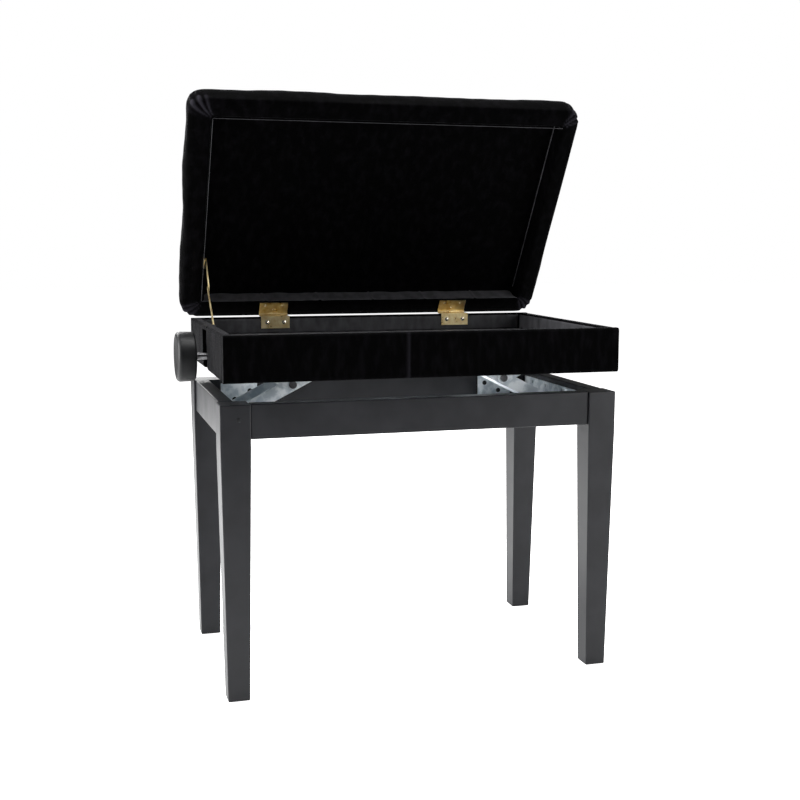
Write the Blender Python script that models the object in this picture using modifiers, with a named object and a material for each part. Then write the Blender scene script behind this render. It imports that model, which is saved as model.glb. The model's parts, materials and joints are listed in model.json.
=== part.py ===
"""Adjustable piano bench: a wooden leg frame, a screw lift, a shallow music box and a padded lid.

X runs left to right, Y front to back, Z up, in metres. The lift is drawn part way up its travel and the
lid is drawn open on its stay. Moving pieces have their origin, or their parent empty, on their joint's axis.
"""
from math import acos, asin, atan2, cos, pi, radians, sin

import bmesh
import bpy
from mathutils import Matrix, Vector

# ---------------------------------------------------------------- driving sizes, metres
TOUCH = 0.0003               # gap that keeps resting pieces apart
RUN = 0.0003                 # radial gap of a pin or shaft in its hole
PAST = 0.010                 # extra length of a cutter, so that it runs past what it cuts

BOX_WIDTH = 0.555            # music box, outside
BOX_DEPTH = 0.351
BOX_HEIGHT = 0.0622
BOX_WALL = 0.016
BOX_RAISE = 0.0293           # gap between the legs' top and the box, as drawn
FLOOR_THICK = 0.004
NOTCH_FRONT = 0.012          # the side wall's notch reaches this far in front of the spindle
NOTCH_REAR = 0.030
NOTCH_ROOF = 0.0062          # wood left above the notch

BASE_SIDE_OVER = 0.0036      # legs' outer faces beyond the box's sides
BASE_END_UNDER = 0.0135      # legs' outer faces inside the box's front and back
BASE_HEIGHT = 0.4027         # floor to the top of the legs
LEG_SIDE = 0.0405            # square top of a leg
LEG_FOOT = 0.0295            # square bottom of a leg
LEG_STRAIGHT = 0.060         # untapered stretch at the top of a leg
LEG_INSET_X = 0.0052         # how far the outer face leans in at the floor, seen from the front
LEG_INSET_Y = 0.0025         # the same, seen from the side
WOOD_ROUND = 0.0012          # rounded wooden edges

APRON_HEIGHT = 0.0466
APRON_THICK = 0.020
APRON_INSET = 0.0031         # apron face behind the leg's face

LID_SIDE_OVER = 0.011        # padded lid beyond the box's sides, cloth included
LID_DEPTH_OVER = 0.012       # lid deeper than the box by this
LID_OPEN = radians(57)
LID_CLOTH = 0.0015           # cloth over the wooden rails
LID_GAP = 0.0025             # hinge axis to the lid's underside
RECESS_DEPTH = 0.028         # hollow in the lid's underside
REAR_RAIL = 0.0225           # widths of the rails, cloth included
FRONT_RAIL = 0.0265
SIDE_RAIL = 0.0265
LID_BOARD = 0.004
CUSHION_THICK = 0.0175
CUSHION_ROUND = 0.008
LINING_THICK = 0.0012

HINGE_PLACE = 0.148          # hinge centres left and right of the middle
HINGE_WIDTH = 0.045
HINGE_SHEET = 0.0010
HINGE_BARREL = 0.0020        # outer radius of the knuckles
HINGE_PIN = 0.0011
HINGE_BACK = 0.0020          # hinge axis behind the box
HINGE_RISE = 0.0027          # hinge axis above the box
HINGE_DROP = 0.019           # leaf down the box's rear wall
HINGE_REACH = 0.0215         # leaf along the lid's underside
HINGE_SCREW_HOLE = 0.0019
HINGE_GAP = 0.0003           # gap between knuckles
HINGE_HOLE_X = 0.0135        # outer screw holes from the hinge's middle
HINGE_HOLE_DROP = 0.011      # box leaf's screw holes below the hinge axis
HINGE_HOLE_FAR = 0.0165      # lid leaf's outer screw holes, from the hinge axis
HINGE_HOLE_NEAR = 0.0085     # lid leaf's middle screw hole, from the hinge axis

STEEL = 0.0020               # sheet of the lift's arms and rails
ARM_LENGTH = 0.1795          # lower pivot to nut
ARM_RISE = 0.0810            # nut above the lower pivot, as drawn
ARM_PIVOT_IN = 0.010         # lower and upper pivots, inside the bearing plates
ARM_WEB_START = 0.026        # web between the arm's side plates, from the lower pivot
ARM_WEB_END = 0.034          # and from the nut
ARM_WIDTH = 0.019
ARM_FLANGE_Y = 0.031         # middle of the arm's side plates
ARM_SLACK = 0.0034           # play round the nut's studs in the arm's slot
LINK_WIDTH = 0.017
LINK_FLANGE_Y = 0.0352
LINK_SLACK = 0.0026
LINK_WEB_START = 0.014       # web between the link's side plates, from its upper pivot
LINK_WEB_LENGTH = 0.020
WEB_RAISE = 0.75             # web above the plates' lower edge, in sheet thicknesses
SLOT_MORE = 0.0008           # arm's slot longer than its play
PIN_RADIUS = 0.0035
PIN_HEAD = 0.0055
PIN_HEAD_THICK = 0.0015
STUD_RADIUS = 0.0040
STUD_PROUD = 0.0008          # stud past the arm's side plate

RAIL_WIDTH = 0.056           # base rail across the leg frame
RAIL_INSIDE = 0.058          # its inner edge, inside the arm's pivot
RAIL_SHEET = 0.0025
RAIL_WING_END = 0.0239       # the rail's wing ends this far from the front and rear aprons
RAIL_TAB = 0.036             # height of the tabs on the aprons
RAIL_DROP = 0.0105           # rail's top face below the arm's lower pivot
TAB_HOLE = 0.0024
TAB_HOLES = ((-0.0166, 0.0223), (0.0072, 0.0094))   # across from the rail's middle, above the rail
WING_HOLES = (0.031, 0.082)  # screw holes in the side tab, from the middle
WING_HOLE_RISE = 0.0285      # those holes above the rail
EAR_Y = 0.0390
EAR_WIDTH = 0.022
EAR_ROUND = 0.010
EAR_FLARE = 0.002            # the ear's foot wider on each side

SPINDLE_RADIUS = 0.0050
SPINDLE_RISE = 0.0195        # spindle above the box's bottom edge
SPINDLE_PAST = 0.003         # spindle's end past the right bearing
NUT_LENGTH = 0.024
NUT_HEIGHT = 0.018
NUT_HALF_Y = 0.0285
FRAME_HALF_Y = 0.0415        # lift frame's cheeks
FRAME_CLEAR = 0.0105         # spindle to the underside of the lift frame's web
FRAME_CHEEK = 0.021          # depth of the cheeks below the web
FRAME_INSIDE = 0.0115        # bearing plates inside the box's side walls
BEARING_LENGTH = 0.004
COLLAR_RADIUS = 0.0085
COLLAR_LENGTH = 0.006

KNOB_RADIUS = 0.0354
KNOB_THICK = 0.0262
KNOB_GAP = 0.0157            # between the box and the knob
KNOB_ROUND = 0.006
KNOB_INNER_ROUND = 0.0036
KNOB_DRAFT = 0.0006          # knob narrower by this at its inner rim
KNOB_DISH = 0.0022           # depth of the hollow in the outer face
KNOB_DISH_FLAT = 0.012       # radius of its flat middle
KNOB_DISH_RISE = 0.0003      # rise of the hollow at the edge of the flat
KNOB_SINK = 0.014            # depth of the spindle's hole in the knob

STAY_SHEET = 0.0012
STAY_WIDTH = 0.0075
STAY_PIVOT = 0.0016
STAY_LOWER = 0.082           # pivot on the box to the knuckle
STAY_BEND = 0.0012           # both links together longer than the straight line between the pivots, open
STAY_BOX_REACH = 0.1325      # pivot on the box's left wall, in front of the hinge axis
STAY_BOX_DROP = 0.0072       # that pivot below the box's top edge
STAY_LID_REACH = 0.097       # pivot on the lid, from the hinge axis
STAY_LID_RISE = 0.010        # that pivot above the hinge axis, inside the lid
STAY_PLATE = 0.020
STAY_PLATE_WIDTH = 0.011

# ---------------------------------------------------------------- places that follow
BASE_WIDTH = BOX_WIDTH + 2 * BASE_SIDE_OVER
BASE_DEPTH = BOX_DEPTH - 2 * BASE_END_UNDER
LID_WIDTH = BOX_WIDTH + 2 * LID_SIDE_OVER
LID_DEPTH = BOX_DEPTH + LID_DEPTH_OVER
BOX_BOTTOM = BASE_HEIGHT + BOX_RAISE
BOX_TOP = BOX_BOTTOM + BOX_HEIGHT
BOX_IN_X = BOX_WIDTH / 2 - BOX_WALL
BOX_IN_Y = BOX_DEPTH / 2 - BOX_WALL
APRON_IN_X = BASE_WIDTH / 2 - APRON_INSET - APRON_THICK
APRON_IN_Y = BASE_DEPTH / 2 - APRON_INSET - APRON_THICK
FRAME_END = BOX_IN_X - FRAME_INSIDE
ARM_PIVOT_X = FRAME_END - ARM_PIVOT_IN
RAIL_INNER = ARM_PIVOT_X - RAIL_INSIDE
RAIL_WING = APRON_IN_Y - RAIL_WING_END
ARM_ANGLE = asin(ARM_RISE / ARM_LENGTH)
NUT_X = ARM_PIVOT_X - ARM_LENGTH * cos(ARM_ANGLE)
SPINDLE_Z = BOX_BOTTOM + SPINDLE_RISE
LOWER_PIVOT_Z = SPINDLE_Z - ARM_RISE
FRAME_WEB_Z = SPINDLE_Z + FRAME_CLEAR
FLOOR_Z = FRAME_WEB_Z + STEEL + TOUCH
HINGE_Y = BOX_DEPTH / 2 + HINGE_BACK
HINGE_Z = BOX_TOP + HINGE_RISE
LID_WOOD = LID_GAP + LID_CLOTH
SIDES = {"left": -1, "right": 1}

COLOURS = {                  # base colour, roughness, metallic
    "black lacquer": ((0.012, 0.012, 0.013), 0.38, 0.0),
    "velvet": ((0.006, 0.006, 0.008), 0.95, 0.0),
    "lining": ((0.030, 0.030, 0.033), 0.60, 0.0),
    "plywood": ((0.45, 0.32, 0.19), 0.70, 0.0),
    "zinc": ((0.62, 0.66, 0.70), 0.35, 1.0),
    "steel": ((0.50, 0.50, 0.51), 0.30, 1.0),
    "brass": ((0.83, 0.62, 0.26), 0.30, 1.0),
    "black plastic": ((0.030, 0.031, 0.033), 0.45, 0.0),
}


# ---------------------------------------------------------------- helpers
def clear_scene():
    for obj in list(bpy.data.objects):
        bpy.data.objects.remove(obj, do_unlink=True)


def new_collection(name):
    collection = bpy.data.collections.new(name)
    bpy.context.scene.collection.children.link(collection)
    return collection


def make_material(name):
    colour, roughness, metallic = COLOURS[name]
    material = bpy.data.materials.new(name)
    material.use_nodes = True
    shader = material.node_tree.nodes["Principled BSDF"]
    shader.inputs["Base Color"].default_value = (*colour, 1.0)
    shader.inputs["Roughness"].default_value = roughness
    shader.inputs["Metallic"].default_value = metallic
    material.diffuse_color = (*colour, 1.0)
    return material


clear_scene()
PARTS = new_collection("piano_bench")
CUTTERS = new_collection("cutters")
MATERIALS = {name: make_material(name) for name in COLOURS}
BENCH = bpy.data.objects.new("bench", None)
PARTS.objects.link(BENCH)


def empty(name, place, turn=(0, 0, 0), parent=None):
    """A guide on a joint's axis."""
    obj = bpy.data.objects.new(name, None)
    obj.location = place
    obj.rotation_euler = turn
    obj.empty_display_size = 0.02
    obj.parent = parent or BENCH
    PARTS.objects.link(obj)
    return obj


def add(name, mesh, finish, place=(0, 0, 0), turn=(0, 0, 0), parent=None):
    """A named piece with its material."""
    obj = bpy.data.objects.new(name, mesh)
    obj.location = place
    obj.rotation_euler = turn
    obj.parent = parent or BENCH
    if not mesh.materials:
        mesh.materials.append(MATERIALS[finish])
    PARTS.objects.link(obj)
    return obj


def tool(name, mesh, place=(0, 0, 0), turn=(0, 0, 0), parent=None):
    """A guide solid that is joined to a piece or cut from it."""
    obj = bpy.data.objects.new(name, mesh)
    obj.location = place
    obj.rotation_euler = turn
    obj.parent = parent or BENCH
    obj.hide_render = True
    obj.display_type = 'WIRE'
    CUTTERS.objects.link(obj)
    return obj


def combine(obj, other, operation):
    modifier = obj.modifiers.new(other.name, 'BOOLEAN')
    modifier.operation = operation
    modifier.solver = 'EXACT'
    modifier.object = other


def mesh_from(name, bm):
    mesh = bpy.data.meshes.new(name)
    bm.to_mesh(mesh)
    bm.free()
    return mesh


def box_mesh(name, size, centre=(0, 0, 0)):
    bm = bmesh.new()
    bmesh.ops.create_cube(bm, size=1)
    bmesh.ops.scale(bm, vec=size, verts=bm.verts)
    bmesh.ops.translate(bm, vec=centre, verts=bm.verts)
    return mesh_from(name, bm)


def rod_mesh(name, radius, length, axis="Y", centre=(0, 0, 0), segments=32):
    """A cylinder along X, Y or Z."""
    turns = {"X": Matrix.Rotation(pi / 2, 3, 'Y'), "Y": Matrix.Rotation(pi / 2, 3, 'X'),
             "Z": Matrix.Identity(3)}
    bm = bmesh.new()
    bmesh.ops.create_cone(bm, cap_ends=True, segments=segments, radius1=radius, radius2=radius, depth=length)
    bmesh.ops.rotate(bm, cent=(0, 0, 0), matrix=turns[axis], verts=bm.verts)
    bmesh.ops.translate(bm, vec=centre, verts=bm.verts)
    mesh = mesh_from(name, bm)
    smooth(mesh)
    return mesh


def smooth(mesh):
    mesh.shade_smooth()
    mesh.set_sharp_from_angle(angle=radians(35))


def plate_mesh(name, outline, thick, plane="XZ"):
    """A flat plate from its outline, centred on its plane: XZ plates face Y, YZ plates face X."""
    curve = bpy.data.curves.new(name, 'CURVE')
    curve.dimensions = '2D'
    curve.fill_mode = 'BOTH'
    curve.extrude = thick / 2
    spline = curve.splines.new('POLY')
    spline.points.add(len(outline) - 1)
    for point, (across, up) in zip(spline.points, outline):
        point.co = (across, up, 0, 1)
    spline.use_cyclic_u = True
    guide = bpy.data.objects.new(name, curve)
    bpy.context.scene.collection.objects.link(guide)
    evaluated = guide.evaluated_get(bpy.context.evaluated_depsgraph_get())
    mesh = bpy.data.meshes.new_from_object(evaluated)
    bpy.data.objects.remove(guide)
    bm = bmesh.new()
    bm.from_mesh(mesh)
    bmesh.ops.remove_doubles(bm, verts=bm.verts, dist=0.000001)
    turn = Matrix.Rotation(pi / 2, 3, 'X')
    if plane == "YZ":
        turn = Matrix.Rotation(pi / 2, 3, 'Z') @ turn
    bmesh.ops.rotate(bm, cent=(0, 0, 0), matrix=turn, verts=bm.verts)
    bmesh.ops.recalc_face_normals(bm, faces=bm.faces)
    bm.to_mesh(mesh)
    bm.free()
    return mesh


def arc(cx, cy, radius, start, end, steps=12):
    """Points on an arc, in degrees."""
    return [(cx + radius * cos(radians(start + (end - start) * i / steps)),
             cy + radius * sin(radians(start + (end - start) * i / steps))) for i in range(steps + 1)]


def bar_outline(length, width):
    """A bar with round ends, from pivot to pivot along the first axis."""
    half = width / 2
    return arc(0, 0, half, 90, 270) + arc(length, 0, half, -90, 90)


def bevel(obj, width, segments=2):
    modifier = obj.modifiers.new("rounded edges", 'BEVEL')
    modifier.width = width
    modifier.segments = segments
    modifier.limit_method = 'ANGLE'
    modifier.angle_limit = radians(40)
    modifier.use_clamp_overlap = True


def block(name, size, centre, finish, rounding=0.0, parent=None):
    """A rectangular piece by its size and centre."""
    obj = add(name, box_mesh(name, size), finish, centre, parent=parent)
    if rounding:
        bevel(obj, rounding)
    return obj


# ---------------------------------------------------------------- leg frame
def leg_mesh():
    """A leg with its outer corner at the origin, its body towards +X and +Y and its foot at Z 0."""
    bm = bmesh.new()
    taper_top = BASE_HEIGHT - LEG_STRAIGHT
    rings = []
    for height, side, inset_x, inset_y in ((0, LEG_FOOT, LEG_INSET_X, LEG_INSET_Y),
                                           (taper_top, LEG_SIDE, 0, 0),
                                           (BASE_HEIGHT, LEG_SIDE, 0, 0)):
        corners = ((0, 0), (side, 0), (side, side), (0, side))
        rings.append([bm.verts.new((inset_x + x, inset_y + y, height)) for x, y in corners])
    bm.faces.new(reversed(rings[0]))
    bm.faces.new(rings[-1])
    for low, high in zip(rings, rings[1:]):
        for i in range(4):
            bm.faces.new((low[i], low[(i + 1) % 4], high[(i + 1) % 4], high[i]))
    return bm


def make_legs():
    for side, sign_x in SIDES.items():
        for end, sign_y in (("front", -1), ("rear", 1)):
            bm = leg_mesh()
            flip = Matrix.Diagonal((-sign_x, -sign_y, 1))
            bmesh.ops.transform(bm, matrix=flip.to_4x4(), verts=bm.verts)
            bmesh.ops.recalc_face_normals(bm, faces=bm.faces)
            name = f"leg_{end}_{side}"
            leg = add(name, mesh_from(name, bm), "black lacquer",
                      (sign_x * BASE_WIDTH / 2, sign_y * BASE_DEPTH / 2, 0))
            bevel(leg, WOOD_ROUND)


def make_aprons():
    height = BASE_HEIGHT - APRON_HEIGHT / 2
    for name, sign in (("apron_front", -1), ("apron_rear", 1)):
        length = BASE_WIDTH - 2 * LEG_SIDE - 2 * TOUCH
        place = (0, sign * (APRON_IN_Y + APRON_THICK / 2), height)
        block(name, (length, APRON_THICK, APRON_HEIGHT), place, "black lacquer", WOOD_ROUND)
    for side, sign in SIDES.items():
        length = BASE_DEPTH - 2 * LEG_SIDE - 2 * TOUCH
        place = (sign * (APRON_IN_X + APRON_THICK / 2), 0, height)
        block(f"apron_{side}", (APRON_THICK, length, APRON_HEIGHT), place, "black lacquer", WOOD_ROUND)


# ---------------------------------------------------------------- screw lift
def headed_pin(name, half_length, place, parent=None, radius=PIN_RADIUS):
    """A pivot pin along Y with a head at both ends, as a turned profile."""
    head = PIN_HEAD
    reach = half_length + PIN_HEAD_THICK
    profile = ((0, reach), (head, reach), (head, half_length), (radius, half_length),
               (radius, -half_length), (head, -half_length), (head, -reach), (0, -reach))
    bm = bmesh.new()
    verts = [bm.verts.new((x, 0, z)) for x, z in profile]
    for a, b in zip(verts, verts[1:]):
        bm.edges.new((a, b))
    pin = add(name, mesh_from(name, bm), "steel", place, (pi / 2, 0, 0), parent)
    screw = pin.modifiers.new("turned", 'SCREW')
    screw.axis = 'Z'
    screw.steps = 24
    screw.render_steps = 24
    screw.use_merge_vertices = True
    screw.merge_threshold = 0.00002
    return pin


def make_base_rail(side, sign):
    """A steel strip across the leg frame, with tabs on the aprons and ears for the arm's pivot."""
    top = LOWER_PIVOT_Z - RAIL_DROP
    middle = sign * (RAIL_INNER + RAIL_WIDTH / 2)
    half_y = APRON_IN_Y - TOUCH
    parent = empty(f"base_rail_{side}_guide", (middle, 0, top))
    name = f"base_rail_{side}"
    rail = add(name, box_mesh(name, (RAIL_WIDTH, 2 * half_y, RAIL_SHEET), (0, 0, -RAIL_SHEET / 2)), "zinc",
               parent=parent)
    for end, sign_y in (("front", -1), ("rear", 1)):
        tab = box_mesh(f"{name}_{end}_tab", (RAIL_WIDTH, STEEL, RAIL_TAB),
                       (0, sign_y * (half_y - STEEL / 2), RAIL_TAB / 2 - RAIL_SHEET / 2))
        combine(rail, tool(f"{name}_{end}_tab", tab, parent=parent), 'UNION')
        foot_x = EAR_WIDTH / 2 + EAR_FLARE
        foot_z = -RAIL_DROP - RAIL_SHEET / 2
        ear_outline = [(-foot_x, foot_z), (foot_x, foot_z)] + arc(0, 0, EAR_ROUND, 0, 180)
        ear = plate_mesh(f"{name}_{end}_ear", ear_outline, STEEL)
        pivot = (sign * ARM_PIVOT_X - middle, sign_y * EAR_Y, RAIL_DROP)
        combine(rail, tool(f"{name}_{end}_ear", ear, pivot, parent=parent), 'UNION')
    bore = rod_mesh(f"{name}_bore", PIN_RADIUS + RUN, 2 * EAR_Y + PAST)
    combine(rail, tool(f"{name}_bore", bore, (sign * ARM_PIVOT_X - middle, 0, RAIL_DROP), parent=parent),
            'DIFFERENCE')
    side_x = APRON_IN_X - TOUCH
    wing = box_mesh(f"{name}_wing", (side_x - RAIL_INNER, 2 * RAIL_WING, RAIL_SHEET),
                    (sign * (side_x + RAIL_INNER) / 2 - middle, 0, -RAIL_SHEET / 2))
    combine(rail, tool(f"{name}_wing", wing, parent=parent), 'UNION')
    side_tab = box_mesh(f"{name}_side_tab", (STEEL, 2 * RAIL_WING, RAIL_TAB),
                        (sign * (side_x - STEEL / 2) - middle, 0, RAIL_TAB / 2 - RAIL_SHEET / 2))
    combine(rail, tool(f"{name}_side_tab", side_tab, parent=parent), 'UNION')
    for i, along in enumerate((-WING_HOLES[1], -WING_HOLES[0], WING_HOLES[0], WING_HOLES[1])):
        hole = rod_mesh(f"{name}_side_hole_{i}", TAB_HOLE, PAST, "X", segments=16)
        place = (sign * (side_x - STEEL / 2) - middle, along, WING_HOLE_RISE)
        combine(rail, tool(f"{name}_side_hole_{i}", hole, place, parent=parent), 'DIFFERENCE')
    for i, (across, up) in enumerate(TAB_HOLES):
        hole = rod_mesh(f"{name}_hole_{i}", TAB_HOLE, 2 * half_y + PAST, segments=16)
        combine(rail, tool(f"{name}_hole_{i}", hole, (sign * across, 0, up), parent=parent), 'DIFFERENCE')
    headed_pin(f"arm_pin_{side}", EAR_Y + STEEL / 2 + TOUCH, (sign * ARM_PIVOT_X, 0, LOWER_PIVOT_Z))


def make_arm(side, sign):
    """A channel arm from the base rail's ears to the nut, and the pin at its middle."""
    axis = empty(f"arm_{side}_axis", (sign * ARM_PIVOT_X, 0, LOWER_PIVOT_Z),
                 (0, -ARM_ANGLE, 0 if sign < 0 else pi))
    name = f"lift_arm_{side}"
    outline = bar_outline(ARM_LENGTH, ARM_WIDTH)
    arm = add(name, plate_mesh(name, outline, STEEL), "zinc", (0, -ARM_FLANGE_Y, 0), parent=axis)
    other = plate_mesh(f"{name}_rear", outline, STEEL)
    combine(arm, tool(f"{name}_rear", other, (0, ARM_FLANGE_Y, 0), parent=axis), 'UNION')
    web_end = ARM_LENGTH - ARM_WEB_END
    web = box_mesh(f"{name}_web", (web_end - ARM_WEB_START, 2 * ARM_FLANGE_Y, STEEL),
                   ((ARM_WEB_START + web_end) / 2, 0, -ARM_WIDTH / 2 + STEEL * WEB_RAISE))
    combine(arm, tool(f"{name}_web", web, parent=axis), 'UNION')
    length = 2 * ARM_FLANGE_Y + 2 * PAST
    for tag, along in (("foot", 0), ("middle", ARM_LENGTH / 2)):
        bore = rod_mesh(f"{name}_{tag}_bore", PIN_RADIUS + RUN, length)
        combine(arm, tool(f"{name}_{tag}_bore", bore, (along, 0, 0), parent=axis), 'DIFFERENCE')
    slot_radius = STUD_RADIUS + LINK_SLACK
    play = ARM_SLACK - LINK_SLACK + SLOT_MORE
    slot_outline = [(x + ARM_LENGTH - play, z) for x, z in bar_outline(2 * play, 2 * slot_radius)]
    slot = plate_mesh(f"{name}_slot", slot_outline, length)
    combine(arm, tool(f"{name}_slot", slot, parent=axis), 'DIFFERENCE')
    half = LINK_FLANGE_Y + STEEL / 2 + TOUCH
    headed_pin(f"middle_pin_{side}", half, (ARM_LENGTH / 2, 0, 0), axis)


def make_link(side, sign):
    """A half-length channel link from the lift frame down to the arm's middle pin."""
    axis = empty(f"link_{side}_axis", (sign * ARM_PIVOT_X, 0, SPINDLE_Z),
                 (0, ARM_ANGLE, 0 if sign < 0 else pi))
    name = f"lift_link_{side}"
    length = ARM_LENGTH / 2
    outline = bar_outline(length, LINK_WIDTH)
    link = add(name, plate_mesh(name, outline, STEEL), "zinc", (0, -LINK_FLANGE_Y, 0), parent=axis)
    other = plate_mesh(f"{name}_rear", outline, STEEL)
    combine(link, tool(f"{name}_rear", other, (0, LINK_FLANGE_Y, 0), parent=axis), 'UNION')
    web = box_mesh(f"{name}_web", (LINK_WEB_LENGTH, 2 * LINK_FLANGE_Y, STEEL),
                   (LINK_WEB_START + LINK_WEB_LENGTH / 2, 0, -LINK_WIDTH / 2 + STEEL * WEB_RAISE))
    combine(link, tool(f"{name}_web", web, parent=axis), 'UNION')
    reach = 2 * LINK_FLANGE_Y + 2 * PAST
    top_bore = rod_mesh(f"{name}_top_bore", PIN_RADIUS + RUN, reach)
    combine(link, tool(f"{name}_top_bore", top_bore, parent=axis), 'DIFFERENCE')
    foot_bore = rod_mesh(f"{name}_foot_bore", PIN_RADIUS + LINK_SLACK, reach)
    combine(link, tool(f"{name}_foot_bore", foot_bore, (length, 0, 0), parent=axis), 'DIFFERENCE')
    inner = LINK_FLANGE_Y - STEEL / 2 - TOUCH
    outer = FRAME_HALF_Y + STEEL / 2 + TOUCH
    for end, sign_y in (("front", -1), ("rear", 1)):
        middle = (sign * ARM_PIVOT_X, sign_y * (inner + outer) / 2, SPINDLE_Z)
        headed_pin(f"link_rivet_{end}_{side}", (outer - inner) / 2, middle)


def make_nut(side, sign):
    """A threaded block on the spindle with a stud for each side plate of the arm."""
    axis = empty(f"nut_{side}_axis", (sign * NUT_X, 0, SPINDLE_Z))
    name = f"spindle_nut_{side}"
    nut = add(name, box_mesh(name, (NUT_LENGTH, 2 * NUT_HALF_Y, NUT_HEIGHT)), "steel", parent=axis)
    studs = rod_mesh(f"{name}_studs", STUD_RADIUS, 2 * (ARM_FLANGE_Y + STEEL / 2 + STUD_PROUD))
    combine(nut, tool(f"{name}_studs", studs, parent=axis), 'UNION')
    bore = rod_mesh(f"{name}_bore", SPINDLE_RADIUS + RUN, NUT_LENGTH + PAST, "X")
    combine(nut, tool(f"{name}_bore", bore, parent=axis), 'DIFFERENCE')


def make_lift_frame():
    """An upside-down channel under the music box: it holds the spindle's bearings and the links' pivots."""
    name = "lift_frame"
    half_x = FRAME_END + BEARING_LENGTH
    frame = add(name, box_mesh(name, (2 * half_x, 2 * FRAME_HALF_Y + STEEL, STEEL)), "zinc",
                (0, 0, FRAME_WEB_Z + STEEL / 2))
    for end, sign_y in (("front", -1), ("rear", 1)):
        cheek = box_mesh(f"{name}_{end}_cheek", (2 * half_x, STEEL, FRAME_CHEEK + STEEL / 2),
                         (0, sign_y * FRAME_HALF_Y, FRAME_WEB_Z - FRAME_CHEEK / 2 + STEEL / 4))
        combine(frame, tool(f"{name}_{end}_cheek", cheek), 'UNION')
    for side, sign in SIDES.items():
        place = (sign * (half_x - BEARING_LENGTH / 2), 0, FRAME_WEB_Z - FRAME_CHEEK / 2 + STEEL / 4)
        size = (BEARING_LENGTH, 2 * FRAME_HALF_Y, FRAME_CHEEK + STEEL / 2)
        plate = box_mesh(f"{name}_{side}_bearing", size, place)
        combine(frame, tool(f"{name}_{side}_bearing", plate), 'UNION')
        bore = rod_mesh(f"{name}_{side}_bore", PIN_RADIUS + RUN, 2 * FRAME_HALF_Y + PAST)
        combine(frame, tool(f"{name}_{side}_bore", bore, (sign * ARM_PIVOT_X, 0, SPINDLE_Z)), 'DIFFERENCE')
    bore = rod_mesh(f"{name}_spindle_bore", SPINDLE_RADIUS + RUN, 2 * half_x + 2 * PAST, "X",
                    (0, 0, SPINDLE_Z))
    combine(frame, tool(f"{name}_spindle_bore", bore), 'DIFFERENCE')


def make_spindle():
    """The threaded rod, its two collars and the hand knob, on one axis."""
    axis = empty("spindle_axis", (0, 0, SPINDLE_Z))
    knob_inner = -(BOX_WIDTH / 2 + KNOB_GAP)
    start = knob_inner - KNOB_SINK
    end = FRAME_END + BEARING_LENGTH + SPINDLE_PAST
    add("spindle", rod_mesh("spindle", SPINDLE_RADIUS, end - start, "X", ((start + end) / 2, 0, 0)), "steel",
        parent=axis)
    for side, sign in SIDES.items():
        name = f"spindle_collar_{side}"
        place = sign * (FRAME_END - COLLAR_LENGTH / 2 - TOUCH)
        ring = rod_mesh(name, COLLAR_RADIUS, COLLAR_LENGTH, "X", (place, 0, 0))
        collar = add(name, ring, "steel", parent=axis)
        bore = rod_mesh(f"{name}_bore", SPINDLE_RADIUS + RUN, COLLAR_LENGTH + PAST, "X", (place, 0, 0))
        combine(collar, tool(f"{name}_bore", bore, parent=axis), 'DIFFERENCE')
    make_knob(axis, knob_inner)


def make_knob(axis, inner):
    """A turned knob: rounded rims, a dished outer face and a blind hole for the spindle."""
    outer = KNOB_THICK
    hole = SPINDLE_RADIUS + RUN
    deep = KNOB_SINK + TOUCH
    profile = [(0, outer - KNOB_DISH), (KNOB_DISH_FLAT, outer - KNOB_DISH + KNOB_DISH_RISE)]
    profile += [(KNOB_RADIUS - KNOB_ROUND + x, outer - KNOB_ROUND + z)
                for x, z in arc(0, 0, KNOB_ROUND, 90, 0, 6)]
    profile += [(KNOB_RADIUS - KNOB_DRAFT - KNOB_INNER_ROUND + x, KNOB_INNER_ROUND + z)
                for x, z in arc(0, 0, KNOB_INNER_ROUND, 0, -90, 5)]
    profile += [(hole, 0), (hole, deep), (0, deep)]
    bm = bmesh.new()
    verts = [bm.verts.new((x, 0, z)) for x, z in profile]
    for a, b in zip(verts, verts[1:]):
        bm.edges.new((a, b))
    knob = add("knob", mesh_from("knob", bm), "black plastic", (inner, 0, 0), (0, -pi / 2, 0), axis)
    screw = knob.modifiers.new("turned", 'SCREW')
    screw.axis = 'Z'
    screw.steps = 48
    screw.render_steps = 48
    screw.use_merge_vertices = True
    screw.merge_threshold = 0.00002
    screw.use_smooth_shade = True


# ---------------------------------------------------------------- music box
def make_music_box():
    """Four walls and a floor; the left wall is notched from below for the spindle."""
    middle = BOX_BOTTOM + BOX_HEIGHT / 2
    for name, sign in (("box_front_wall", -1), ("box_rear_wall", 1)):
        place = (0, sign * (BOX_DEPTH - BOX_WALL) / 2, middle)
        block(name, (BOX_WIDTH, BOX_WALL, BOX_HEIGHT), place, "velvet", WOOD_ROUND)
    walls = {}
    for side, sign in SIDES.items():
        name = f"box_{side}_wall"
        walls[side] = block(name, (BOX_WALL, 2 * (BOX_IN_Y - TOUCH), BOX_HEIGHT),
                            (sign * (BOX_WIDTH - BOX_WALL) / 2, 0, middle), "velvet")
    notch_top = BOX_TOP - NOTCH_ROOF
    size = (BOX_WALL + PAST, NOTCH_FRONT + NOTCH_REAR, notch_top - BOX_BOTTOM + PAST)
    notch = box_mesh("spindle_notch", size, (0, (NOTCH_REAR - NOTCH_FRONT) / 2, 0))
    place = (-(BOX_WIDTH - BOX_WALL) / 2, 0, (notch_top + BOX_BOTTOM - PAST) / 2)
    combine(walls["left"], tool("spindle_notch", notch, place), 'DIFFERENCE')
    block("box_floor", (2 * (BOX_IN_X - TOUCH), 2 * (BOX_IN_Y - TOUCH), FLOOR_THICK),
          (0, 0, FLOOR_Z + FLOOR_THICK / 2), "lining")


# ---------------------------------------------------------------- hinges
def knuckle_mesh(name, start, end):
    return rod_mesh(name, HINGE_BARREL, end - start, "X", ((start + end) / 2, 0, 0), 24)


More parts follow.
